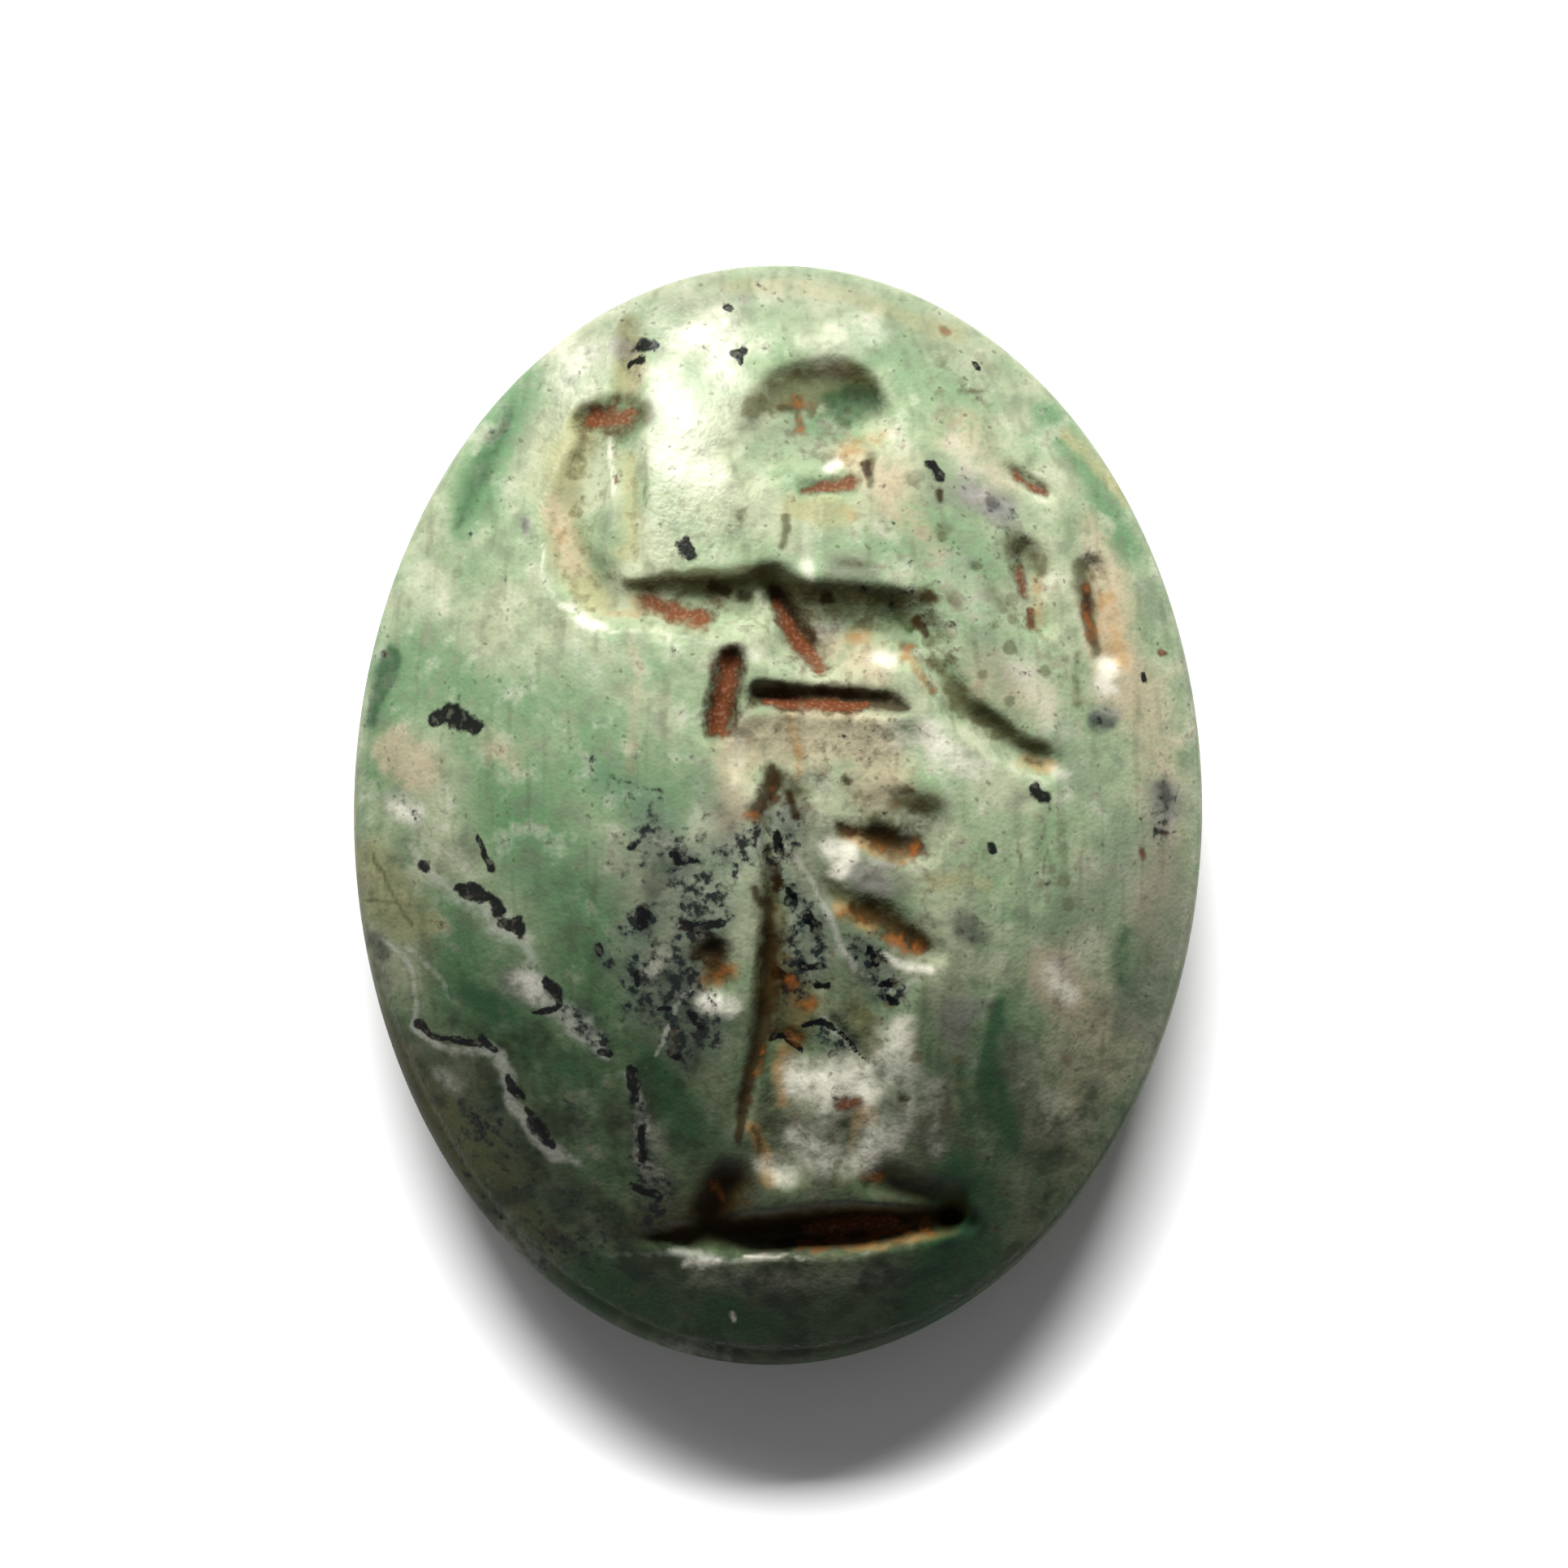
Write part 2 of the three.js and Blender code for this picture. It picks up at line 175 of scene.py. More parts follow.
# Colour marks. Each is (path, half widths), and the soft ones also have a strength. A single half width
# holds all along the path. The material lays the marks over each other.
GREEN_CLOUDS = [
    ([(-3.25, 5.45), (-3.65, 4.5), (-4, 3.7)], (0.32, 0.34, 0.26), 1),
    ([(-4.55, 2.3), (-4.35, 1.7)], 0.5, 0.5),
    ([(-3.9, 0.75), (-3, 0.35)], (0.5, 0.6), 0.5),
    ([(-2.6, 1.6), (-1.8, 1), (-1.2, 0.4)], (0.6, 0.6, 0.45), 0.45),
    ([(-2.1, 0.6), (-1.5, 0.1)], (0.5, 0.4), 0.7),
    ([(-3.4, -0.1), (-2.6, -0.9)], 0.6, 0.8),
    ([(-4.2, -1.3), (-3.8, -1.9)], (0.45, 0.5), 1),
    ([(-4, -2.3), (-3.4, -2.5)], (0.4, 0.36), 1),
    ([(-3.3, -2.7), (-2.7, -3.2)], 0.45, 1),
    ([(-2.5, -1.2), (-2.3, -2.6)], (0.36, 0.4), 1),
    ([(-2.2, -3.4), (-2.3, -4.6)], 0.4, 0.7),
    ([(-1.8, -3), (-1.1, -3.9)], (0.4, 0.5), 0.9),
    ([(1.2, 6.1), (2.2, 5.45), (2.6, 5.2)], (0.4, 0.45, 0.3), 0.5),
    ([(3.4, 5.1), (3.95, 4.3), (4.45, 3.3)], (0.22, 0.24, 0.22), 0.9),
    ([(1.8, 3.6), (2.6, 3.1)], 0.45, 0.6),
    ([(0.4, 3.6), (1.2, 3.4)], (0.4, 0.3), 0.4),
    ([(4.5, -1.5), (4.4, -2.4)], 0.22, 0.7),
    ([(2.8, -2.3), (2.7, -3.2), (2.85, -4.2)], (0.22, 0.26, 0.26), 0.6),
    ([(2.36, -2.6), (2.46, -3.8)], (0.2, 0.22), 0.4),
    ([(-4.9, 1.9), (-5, 0.6)], (0.24, 0.26), 0.9),
    ([(-4.4, 1.9), (-3.2, 1.3)], (0.4, 0.5), 0.7),
    ([(2.2, -4.4), (2.4, -5.4), (1.8, -6.2)], (0.4, 0.5, 0.44), 0.9),
    ([(-2.2, -6), (0, -6.45), (1.8, -6.2)], 0.6, 0.6),
    ([(0.55, 4.86), (0.95, 4.72)], 0.2, 0.9),
    ([(3.4, -0.2), (3.6, -1.2)], 0.3, 0.5),
]
DEEP_GREEN_CLOUDS = [
    ([(-3.4, 5.1), (-3.66, 4.5), (-3.96, 3.8)], (0.14, 0.18, 0.12), 0.6),
    ([(-3.95, -2.28), (-3.45, -2.48)], (0.2, 0.18), 1),
    ([(-3.1, -2.8), (-2.6, -3.2)], (0.24, 0.26), 0.4),
    ([(-2.45, -1.5), (-2.35, -2.5)], (0.14, 0.16), 0.4),
    ([(-3.9, -1.4), (-4.2, -1.9)], 0.2, 0.4),
    ([(-1.6, -3.1), (-1.1, -3.9)], (0.25, 0.26), 0.7),
    ([(2.3, -4.6), (2.4, -5.3)], (0.36, 0.42), 0.9),
    ([(2.8, -2.3), (2.7, -3.3), (2.9, -4.1)], (0.11, 0.14, 0.12), 0.9),
    ([(2.36, -3.1), (2.4, -3.9)], (0.1, 0.12), 0.6),
    ([(4.4, -1.5), (4.36, -2.1)], 0.14, 0.6),
    ([(3.5, 1.2), (3.56, -0.6)], 0.08, 0.3),
    ([(-4.95, 2), (-5.15, 1.2)], 0.12, 1),
    ([(-2.6, -6), (0, -6.6), (2.6, -5.9)], (0.4, 0.5, 0.5), 0.35),
    ([(1.95, -5.6), (1.8, -6.3)], (0.18, 0.22), 1),
    ([(-0.7, -6.2), (-0.2, -6.5)], (0.24, 0.2), 0.6),
    ([(-2.4, -5.8), (-1.6, -6.1)], (0.3, 0.2), 0.6),
    ([(-3.9, -3.9), (-2.8, -5.2)], 0.6, 0.3),
    ([(2.6, -5.2), (3.5, -4.3)], (0.4, 0.36), 0.3),
    ([(4.6, 4.2), (4.8, 3.6)], 0.1, 0.6),
    ([(0.86, 5.16), (1.18, 5.24)], (0.22, 0.18), 1),
    ([(0.6, 5.34), (1, 5.36)], 0.14, 0.6),
    ([(1.2, 2.7), (1.6, 2.3)], (0.2, 0.14), 0.6),
]
YELLOW_CLOUDS = [
    ([(-5.2, -0.5), (-4.8, -1.2), (-4.5, -1.4)], (0.3, 0.36, 0.24), 1),
    ([(0.15, 3.9), (0.8, 3.8)], (0.2, 0.22), 0.9),
    ([(-2.8, 4.6), (-2.6, 4.8)], (0.3, 0.2), 0.6),
    ([(-1.85, 6.22), (-1.86, 5.5)], (0.14, 0.22), 1),
    ([(-2.5, 4.8), (-2.74, 4), (-2.56, 3.2), (-2.2, 2.7)], (0.24, 0.3, 0.28, 0.2), 1),
    ([(-1.92, 4.5), (-1.88, 3.3)], 0.14, 0.7),
    ([(-0.6, 6.7), (0.8, 6.6), (2.2, 6.05)], (0.14, 0.14, 0.16), 0.7),
    ([(3.6, 4.9), (4.4, 4)], 0.1, 0.7),
    ([(-4.9, -3.2), (-4.2, -4.2)], 0.26, 0.8),
    ([(1, -2.45), (1.2, -2.75)], (0.18, 0.16), 0.9),
    ([(1.9, -0.8), (2.6, -0.86)], (0.12, 0.1), 0.7),
    ([(-1.5, -1.8), (-1.2, -2)], (0.2, 0.18), 0.6),
]
WARM_CLOUDS = [
    ([(-4.8, 0.8), (-4.5, 0.55)], (0.32, 0.3), 1),
    ([(-3.6, 0.85), (-3.3, 0.7)], (0.22, 0.18), 0.5),
    ([(-2.75, 3.95), (-2.6, 3.2)], (0.16, 0.2), 0.8),
    ([(-1.88, 6), (-1.86, 5.4)], (0.1, 0.16), 0.5),
    ([(-1.84, 2.2), (-1.78, 0.6)], (0.12, 0.1), 0.45),
    ([(3.9, 3.7), (4, 3.5)], 0.22, 0.6),
    ([(4.1, 2.9), (4.25, 1.6)], 0.34, 1),
    ([(3.4, -1.9), (3.7, -2.3)], 0.3, 1),
    ([(-0.5, 0.9), (0.4, 1), (1.1, 0.9), (1.3, 0.4)], (0.3, 0.4, 0.45, 0.4), 1),
    ([(-0.6, 0.6), (-0.5, -0.1)], (0.2, 0.22), 0.8),
    ([(4.6, 1.5), (4.9, 0), (4.7, -1.4)], (0.4, 0.4, 0.3), 0.6),
    ([(0.9, 4.5), (1.4, 4.3)], 0.3, 0.7),
    ([(4.3, -2.6), (3.5, -4.2)], 0.5, 0.5),
    ([(2.3, 4.8), (2.7, 4.3)], (0.4, 0.35), 0.6),
    ([(1.4, 3.95), (1.9, 3.4)], (0.3, 0.26), 0.5),
    ([(0.4, 2.2), (1.2, 1.9)], 0.3, 0.7),
    ([(2.6, 1.8), (3.2, 1.4)], (0.36, 0.3), 0.6),
]
GREY_CLOUDS = [
    ([(2.1, 4.15), (2.8, 3.95)], (0.35, 0.28), 0.9),
    ([(-0.1, 0.1), (0.6, -0.4), (0.6, -1.4), (1.3, -1.9)], (0.26, 0.3, 0.36, 0.3), 1),
    ([(1.1, -0.7), (1.5, -0.9)], (0.22, 0.2), 0.8),
    ([(-4.6, -3), (-3.6, -3.8), (-2.8, -4.8)], (0.4, 0.45, 0.4), 0.8),
    ([(-1.9, -0.6), (-1.4, -1.6), (-1.2, -2.6)], (0.45, 0.6, 0.5), 0.7),
    ([(3.6, -1.4), (4.4, -0.4)], (0.5, 0.45), 0.6),
    ([(-1.75, -3.4), (-1.65, -4.2), (-1.4, -5)], (0.16, 0.18, 0.24), 1),
    ([(2.6, 2), (2.9, 1.7)], (0.35, 0.3), 0.6),
    ([(4.7, 2.9), (4.85, 2.5)], 0.2, 0.6),
    ([(0.8, 3.14), (1.12, 3.1)], (0.2, 0.16), 0.9),
    ([(-0.6, 3.6), (-0.4, 3.8)], 0.2, 0.5),
    ([(-1.4, 6.5), (-0.4, 6.5)], 0.14, 0.5),
    ([(1.6, 0.1), (2, 0.05)], (0.3, 0.26), 0.7),
    ([(1.5, -4.8), (2, -4.82)], (0.24, 0.18), 0.9),
    ([(4.95, -0.6), (4.8, -1.6), (4.5, -2.6)], (0.3, 0.34, 0.3), 1),
    ([(-1.2, -5.9), (0.2, -6)], (0.3, 0.24), 0.8),
    ([(0.9, -6.1), (1.4, -5.9)], 0.24, 0.8),
    ([(-0.3, 4.9), (0.5, 4.7)], (0.45, 0.4), 0.6),
    ([(-1.8, -6), (0, -6.3), (1.5, -6.2)], (0.4, 0.5, 0.4), 0.7),
    ([(2.1, -2.4), (2.3, -2.8)], (0.24, 0.22), 0.8),
    ([(0.4, -0.6), (1.6, -0.2)], 0.4, 0.5),
    ([(-0.9, 0.5), (-0.7, -0.3)], 0.3, 0.6),
    ([(3, -3), (3.2, -4.2)], 0.26, 0.9),
    ([(2, -4.2), (2.1, -3.2)], (0.16, 0.2), 0.8),
    ([(0.9, -3.9), (1.2, -4.2)], 0.2, 0.8),
    ([(3.6, 0.9), (3.9, 0.4)], 0.3, 0.5),
]
LAVENDER_CLOUDS = [
    ([(2.45, 4.1), (2.8, 3.9)], (0.2, 0.18), 1),
    ([(3.5, -1.9), (3.62, -2.2)], 0.2, 0.6),
    ([(4.1, 1.25), (4.2, 1.25)], (0.2, 0.14), 0.7),
    ([(4.84, 0.35), (4.9, 0.1)], (0.22, 0.3), 0.8),
    ([(-1.96, 5.88), (-1.8, 5.84)], (0.12, 0.1), 1),
    ([(1, -0.8), (1.3, -0.92)], (0.2, 0.16), 0.8),
    ([(-3.3, -2.05), (-3, -2.25)], (0.24, 0.22), 0.8),
    ([(0.5, 2.26), (0.72, 2.3)], (0.14, 0.12), 0.6),
    ([(-3.22, 3.72), (-3.16, 3.62)], 0.12, 0.6),
    ([(2.4, -2.4), (2.2, -2.7)], (0.22, 0.2), 0.7),
]
OCHRE_CLOUDS = [
    ([(0.8, 4.56), (1.05, 4.7), (1.28, 4.8)], (0.16, 0.18, 0.12), 0.45),
    ([(0.8, 3.84), (0.95, 3.76)], (0.14, 0.12), 0.4),
    ([(-2.72, 3.62), (-2.66, 3.5)], (0.09, 0.1), 0.4),
    ([(4.14, 2.7), (4.26, 2.1)], (0.18, 0.22), 0.75),
    ([(3.26, 2.9), (3.32, 2.5)], 0.12, 0.5),
    ([(-1.72, 2.72), (-1, 2.4)], 0.14, 0.6),
    ([(-2.2, 2.52), (-1.7, 2.5)], (0.06, 0.07), 0.5),
    ([(0.15, -2.2), (0.24, -2.5), (0.1, -3)], (0.2, 0.22, 0.12), 0.6),
    ([(0.04, -3.1), (0.06, -3.6)], 0.09, 0.7),
    ([(-0.3, -3.9), (-0.16, -4.5)], (0.1, 0.12), 0.7),
    ([(1, -3.8), (0.9, -4.2)], (0.12, 0.1), 0.4),
    ([(3.1, 0.72), (3.35, 0.6)], (0.12, 0.1), 0.7),
    ([(1.55, 2.1), (1.85, 1.6)], 0.08, 0.5),
    ([(0.2, 1.2), (0.2, 0.5)], 0.08, 0.5),
    ([(0.88, 2.26), (1.1, 2.2)], (0.1, 0.08), 0.6),
    ([(0.9, -0.24), (1.5, -0.46)], (0.14, 0.12), 0.8),
    ([(0.8, -1.2), (1.1, -1.34)], 0.12, 0.9),
    ([(-0.8, -2), (-0.62, -2.02)], (0.16, 0.14), 0.8),
    ([(0.9, -5.42), (2.2, -5.3)], (0.1, 0.08), 0.5),
    ([(1.04, -3.7), (1.2, -3.8)], (0.12, 0.1), 0.5),
]
OLIVE_CLOUDS_AND_SHADE = [
    # Painted shade in the crown of the helmet, in the next two marks
    ([(-0.3, 5.2), (-0.05, 5.42)], (0.18, 0.2), 0.4),
    ([(0.2, 5.36), (0.7, 5.46), (1.1, 5.4)], (0.24, 0.22, 0.18), 0.6),
    ([(1.5, -3.2), (1.9, -3.6)], 0.14, 0.4),
    ([(1.6, -2.9), (1.76, -3.1)], 0.1, 0.5),
    ([(0.5, -3.9), (0.7, -4.3)], 0.12, 0.3),
    ([(-2.54, 5), (-2.1, 4.84), (-1.7, 5.04)], (0.12, 0.1, 0.1), 0.8),
    ([(-1.9, 6.26), (-1.87, 5.5)], (0.13, 0.19), 0.45),
    ([(-2.4, 5.12), (-2.05, 5.28), (-1.7, 5.12)], (0.12, 0.1, 0.1), 0.6),
    ([(-2.5, 4.8), (-2.5, 4.2), (-2.4, 3.4), (-2.2, 3)], (0.18, 0.2, 0.18, 0.14), 0.4),
    ([(-1.68, 4.6), (-1.68, 3.9)], 0.04, 0.6),
    ([(1.12, 4.46), (1.14, 4.12)], (0.07, 0.06), 0.9),
    ([(0.04, 3.75), (0.02, 3.35)], 0.06, 0.8),
    ([(-0.5, 3.78), (-0.52, 3.6)], 0.1, 0.5),
    ([(0.8, 3.14), (1.1, 3.12)], (0.12, 0.1), 0.6),
    ([(-0.05, 0.5), (0.2, 0.2)], 0.16, 0.8),
    ([(3, 3.45), (3.3, 3.2)], (0.2, 0.16), 0.8),
    ([(3.8, 3.2), (3.86, 2.6), (4, 2)], (0.1, 0.11, 0.06), 1),
    ([(2.2, 2.72), (2.3, 2.6)], 0.1, 0.7),
    ([(2.66, 2.8), (2.8, 2.6)], (0.14, 0.12), 0.6),
    ([(2.06, 3.6), (2.16, 3.56)], (0.1, 0.08), 0.6),
    ([(1.86, 2.84), (1.92, 2.76)], (0.12, 0.1), 0.8),
    ([(1.7, 0.22), (1.98, 0.16)], (0.18, 0.16), 0.8),
    ([(1.3, -0.2), (1.46, -0.26)], (0.16, 0.14), 0.9),
    ([(0.66, -0.96), (1.2, -1.14), (1.8, -1.56)], (0.12, 0.14, 0.12), 0.9),
    ([(-5.06, -0.5), (-4.66, -1.36)], (0.025, 0.03), 0.9),
    ([(-5.25, -1.02), (-4.88, -1)], (0.03, 0.02), 0.7),
    ([(0, 5.08), (0.12, 5.18)], 0.09, 0.7),
    ([(0.48, 5.36), (0.48, 5.04)], 0.06, 0.9),
    ([(2.3, 5.35), (2.6, 5.35)], (0.05, 0.04), 0.6),
    ([(-1.7, -5.1), (-0.6, -4.6)], 0.25, 0.6),
    ([(1.2, -4.5), (2.3, -4.76)], 0.14, 0.8),
    # Painted shade under the top edges of the shoulders, in the next two marks
    ([(-1.9, 2.95), (-0.9, 2.94), (-0.2, 3)], (0.07, 0.11, 0.14), 1),
    ([(0, 2.84), (0.6, 2.8), (1.4, 2.72)], (0.12, 0.14, 0.12), 0.6),
    # Painted shade on the lowered arm's upper wall
    ([(1.9, 1.9), (2.3, 1.5)], (0.11, 0.12), 0.8),
    ([(0.3, 2.56), (0.9, 2.5), (1.5, 2.46)], (0.16, 0.14, 0.14), 0.6),
    ([(-0.9, 2.72), (-0.4, 2.62)], 0.12, 0.5),
    ([(0.1, -2.06), (0.3, -2.46), (0.12, -2.9)], (0.22, 0.28, 0.14), 0.9),
    ([(3.74, 2), (3.72, 1.4)], 0.08, 0.5),
    ([(2.98, -0.1), (3.02, -0.8)], 0.03, 0.5),
    ([(3.34, 0), (3.36, -0.9)], 0.03, 0.5),
    ([(1, 0.3), (1.5, 0.26)], (0.3, 0.2), 0.4),
    ([(1.5, 2.7), (1.66, 2.4)], (0.12, 0.1), 0.8),
    # Painted shade on the lowered arm's upper wall
    ([(2.3, 1.48), (2.76, 1.1), (3.3, 0.82)], (0.1, 0.11, 0.08), 1),
    # Painted shade in the crown of the helmet, in the next two marks
    ([(-0.26, 5.2), (0.1, 5.44), (0.5, 5.5), (0.9, 5.46), (1.24, 5.36)], (0.16, 0.22, 0.24, 0.2, 0.14), 0.9),
    ([(0.1, 5.3), (0.8, 5.3)], 0.2, 0.5),
    ([(-0.1, -0.5), (-0.08, -1.3)], (0.08, 0.12), 0.9),
    ([(-0.12, -1.3), (-0.04, -2.4)], (0.12, 0.2), 1),
    ([(2.4, 0), (2.8, 1.4)], 0.03, 0.3),
    ([(-4.2, -3.6), (-3.3, -4.6)], (0.3, 0.4), 0.5),
    ([(-5, -2.4), (-4.7, -3.3), (-4, -4.5)], (0.16, 0.22, 0.26), 0.6),
    ([(-3.6, -4.6), (-2.8, -5.4)], 0.2, 0.6),
]
PALE_CLOUDS_AND_HIGHLIGHTS = [
    ([(0.3, -3.3), (0.9, -3.3), (1.1, -3.5)], (0.26, 0.3, 0.2), 1),
    ([(0.6, -3.7), (1.3, -3.1), (1.6, -2.5)], (0.2, 0.2, 0.14), 0.5),
    # Painted highlight: the lamp's reflection on the upper left of the dome, in the next four marks
    ([(-1.34, 6.05), (-0.7, 6.1), (-0.7, 5.6)], (0.2, 0.3, 0.3), 0.8),
    ([(-1.5, 5.5), (-1.2, 4.9)], (0.26, 0.36), 0.8),
    ([(-2.5, 5.9), (-2.7, 5.5)], 0.26, 0.7),
    ([(-1.5, 4.5), (-0.8, 4.2)], 0.26, 0.6),
    ([(-0.1, 6.7), (0.6, 6.6)], 0.4, 0.3),
    ([(-2.1, 4.7), (-2.12, 4.1)], 0.04, 0.8),
    # Painted highlights on the lower rims of the raised forearm, elbow and upper arm, in the next four marks
    ([(-3.04, 3.5), (-2.94, 3), (-2.76, 2.76)], (0.02, 0.03, 0.03), 0.7),
    ([(-2.66, 2.66), (-2.54, 2.58)], (0.06, 0.05), 0.8),
    ([(-2.4, 2.46), (-2.22, 2.4)], (0.09, 0.07), 1),
    ([(-2.1, 2.36), (-1.5, 2.3), (-0.8, 2.16)], (0.03, 0.02, 0.03), 0.5),
    ([(-0.6, 2.1), (-0.3, 1.96)], (0.14, 0.1), 0.5),
    # Painted highlight: a glint in the chest
    ([(1.2, 2.02), (1.36, 1.96)], 0.13, 0.8),
    # Painted highlight on the lower rim of the knee hollow
    ([(-0.84, -2.3), (-0.62, -2.32)], (0.14, 0.12), 1),
    ([(0.7, -0.42), (0.92, -0.46), (0.74, -0.7)], (0.14, 0.12, 0.12), 1),
    # Painted highlight on the ledge below the lower fold
    ([(1.3, -1.78), (1.6, -1.9), (1.9, -1.94)], (0.06, 0.08, 0.06), 0.7),
    ([(1.6, 1), (2.5, 0.6)], (0.3, 0.24), 0.6),
    ([(1.4, -2.7), (1.66, -3.4), (1.5, -4.1)], (0.22, 0.24, 0.2), 0.5),
    ([(1.8, 1.1), (2.2, 0.7)], 0.1, 0.6),
    ([(0.3, 3.14), (0.36, 3)], (0.1, 0.08), 0.7),
    ([(0.28, 3.6), (0.3, 3.2)], (0.1, 0.12), 0.4),
    ([(0.62, 4.36), (0.72, 4.38)], 0.08, 0.9),
    ([(-1, -5.85), (0.2, -5.92), (1.2, -5.82)], (0.22, 0.24, 0.2), 0.28),
    ([(-2.3, -3.6), (-2.4, -4.4)], 0.3, 0.22),
    ([(3.3, -3.9), (3.9, -3.9)], 0.3, 0.25),
    # Painted highlight: a glint on a chip
    ([(-0.56, -6.36), (-0.53, -6.42)], 0.03, 1),
    ([(2.2, 4.6), (2.6, 4.2)], 0.3, 0.4),
    ([(2.2, 3.1), (2.6, 2.4)], 0.3, 0.4),
    ([(2, -3.4), (2.05, -4.2)], (0.14, 0.18), 0.35),
    ([(3.1, -3.3), (3.5, -3.6)], 0.2, 0.3),
    ([(0.6, 5.9), (1.2, 6.1)], 0.3, 0.5),
    ([(-1.6, -3.9), (-1.5, -4.6)], (0.2, 0.24), 0.3),
    ([(1.3, 3.6), (1.45, 3.45)], (0.16, 0.12), 0.5),
    ([(-4.85, 0.1), (-4.6, -0.05)], (0.18, 0.16), 0.8),
    ([(-0.56, 0.4), (-0.5, 0.9)], (0.12, 0.16), 0.4),
    ([(3.45, 0.5), (3.6, 0.42)], (0.12, 0.1), 0.5),
    # Painted highlight on the lower lip of the ground line, in the next two marks
    ([(-1.2, -5.6), (-0.95, -5.63), (-0.75, -5.63)], (0.05, 0.08, 0.05), 0.8),
    ([(-0.4, -5.59), (0.3, -5.59)], 0.03, 0.6),
    ([(4.2, 1.94), (4.18, 1.6)], (0.14, 0.18), 1),
    ([(4.2, 2.6), (4.22, 2.3)], (0.1, 0.12), 0.5),
    ([(0.2, -4.1), (0.9, -4.3), (1.2, -4)], (0.26, 0.24, 0.2), 0.65),
    ([(-0.3, -4.4), (0.1, -4.5)], (0.1, 0.14), 0.6),
    ([(-1.64, -1.9), (-1.4, -1.7)], (0.14, 0.12), 0.5),
    ([(-2.6, 2.1), (-2.2, 1.6)], 0.3, 0.3),
    ([(-4.6, 3.2), (-4.3, 2.6)], 0.3, 0.4),
    ([(3.1, 1.9), (3.5, 1.1)], 0.3, 0.5),
    ([(3.44, -1.94), (3.66, -2.2)], (0.2, 0.18), 0.7),
    ([(-3.24, -2.02), (-3.02, -2.22)], (0.18, 0.16), 0.6),
]
VEINS_AND_HIGHLIGHTS = [
    ([(-4.62, -0.4), (-4.4, -0.72), (-4, -1.02), (-3.5, -1.34)], (0.07, 0.1, 0.16, 0.2), 0.8),
    ([(-3.5, -1.34), (-3.12, -1.7), (-2.96, -2.2), (-2.6, -2.6)], (0.14, 0.12, 0.2, 0.14), 0.8),
    ([(-2.6, -2.5), (-2.36, -2.7), (-2.1, -2.94)], (0.12, 0.18, 0.08), 0.9),
    ([(-5.06, -1.56), (-4.7, -1.9), (-4.56, -2.3), (-4.56, -2.7)], (0.05, 0.05, 0.05, 0.06), 0.8),
    ([(-4.7, -1.7), (-4.3, -2), (-4.1, -2.3)], (0.05, 0.05, 0.03), 0.7),
    ([(-4.6, -2.7), (-4.1, -2.9), (-3.7, -2.96), (-3.5, -3.06)], (0.06, 0.06, 0.12, 0.08), 0.9),
    ([(-3.5, -3.06), (-3.36, -3.5), (-3.14, -3.94), (-2.84, -4.28)], (0.08, 0.1, 0.12, 0.1), 1),
    ([(-2.84, -4.28), (-2.6, -4.34)], (0.1, 0.08), 0.8),
    ([(-4.3, -3.2), (-4.1, -3.4)], (0.16, 0.18), 0.6),
    ([(-1.9, -3.2), (-1.72, -3.7), (-1.66, -4.4)], (0.12, 0.12, 0.1), 0.7),
    ([(-1.62, -0.2), (-1.3, -0.5), (-1, -0.66)], 0.03, 0.9),
    ([(-1.44, -2.94), (-1.26, -2.5), (-1.06, -2.16)], (0.03, 0.04, 0.04), 1),
    ([(-1.6, -2.4), (-1.2, -2.36)], 0.03, 0.7),
    ([(0.4, -0.9), (0.56, -1.3), (0.8, -1.7), (1, -1.96)], (0.05, 0.06, 0.06, 0.04), 1),
    ([(0.2, -0.6), (0.4, -0.9)], (0.06, 0.05), 0.8),
    ([(1.2, -0.6), (1.46, -0.7)], (0.06, 0.04), 0.9),
    ([(1.1, -2), (1.5, -2.2), (1.7, -2)], 0.04, 0.7),
    ([(0.6, -2.6), (1.1, -3.1)], (0.1, 0.06), 0.7),
    # Painted highlight on the lower lip of the ground line, in the next three marks
    ([(-2.2, -5.56), (-1.4, -5.6)], (0.05, 0.06), 0.5),
    ([(-1.3, -5.58), (-0.95, -5.62), (-0.5, -5.62)], (0.07, 0.1, 0.05), 0.8),
    ([(-0.5, -5.6), (0.4, -5.59), (1.2, -5.54)], (0.05, 0.05, 0.04), 0.6),
    ([(2.3, 4.06), (2.9, 3.9)], 0.05, 0.6),
    # Painted light on the worn lower-left bevel, which the side below takes on
    ([(-3.5, -5.1), (-2.7, -5.86), (-1.6, -6.5), (-0.4, -6.8)], (0.04, 0.08, 0.07, 0.01), 0.6),
]
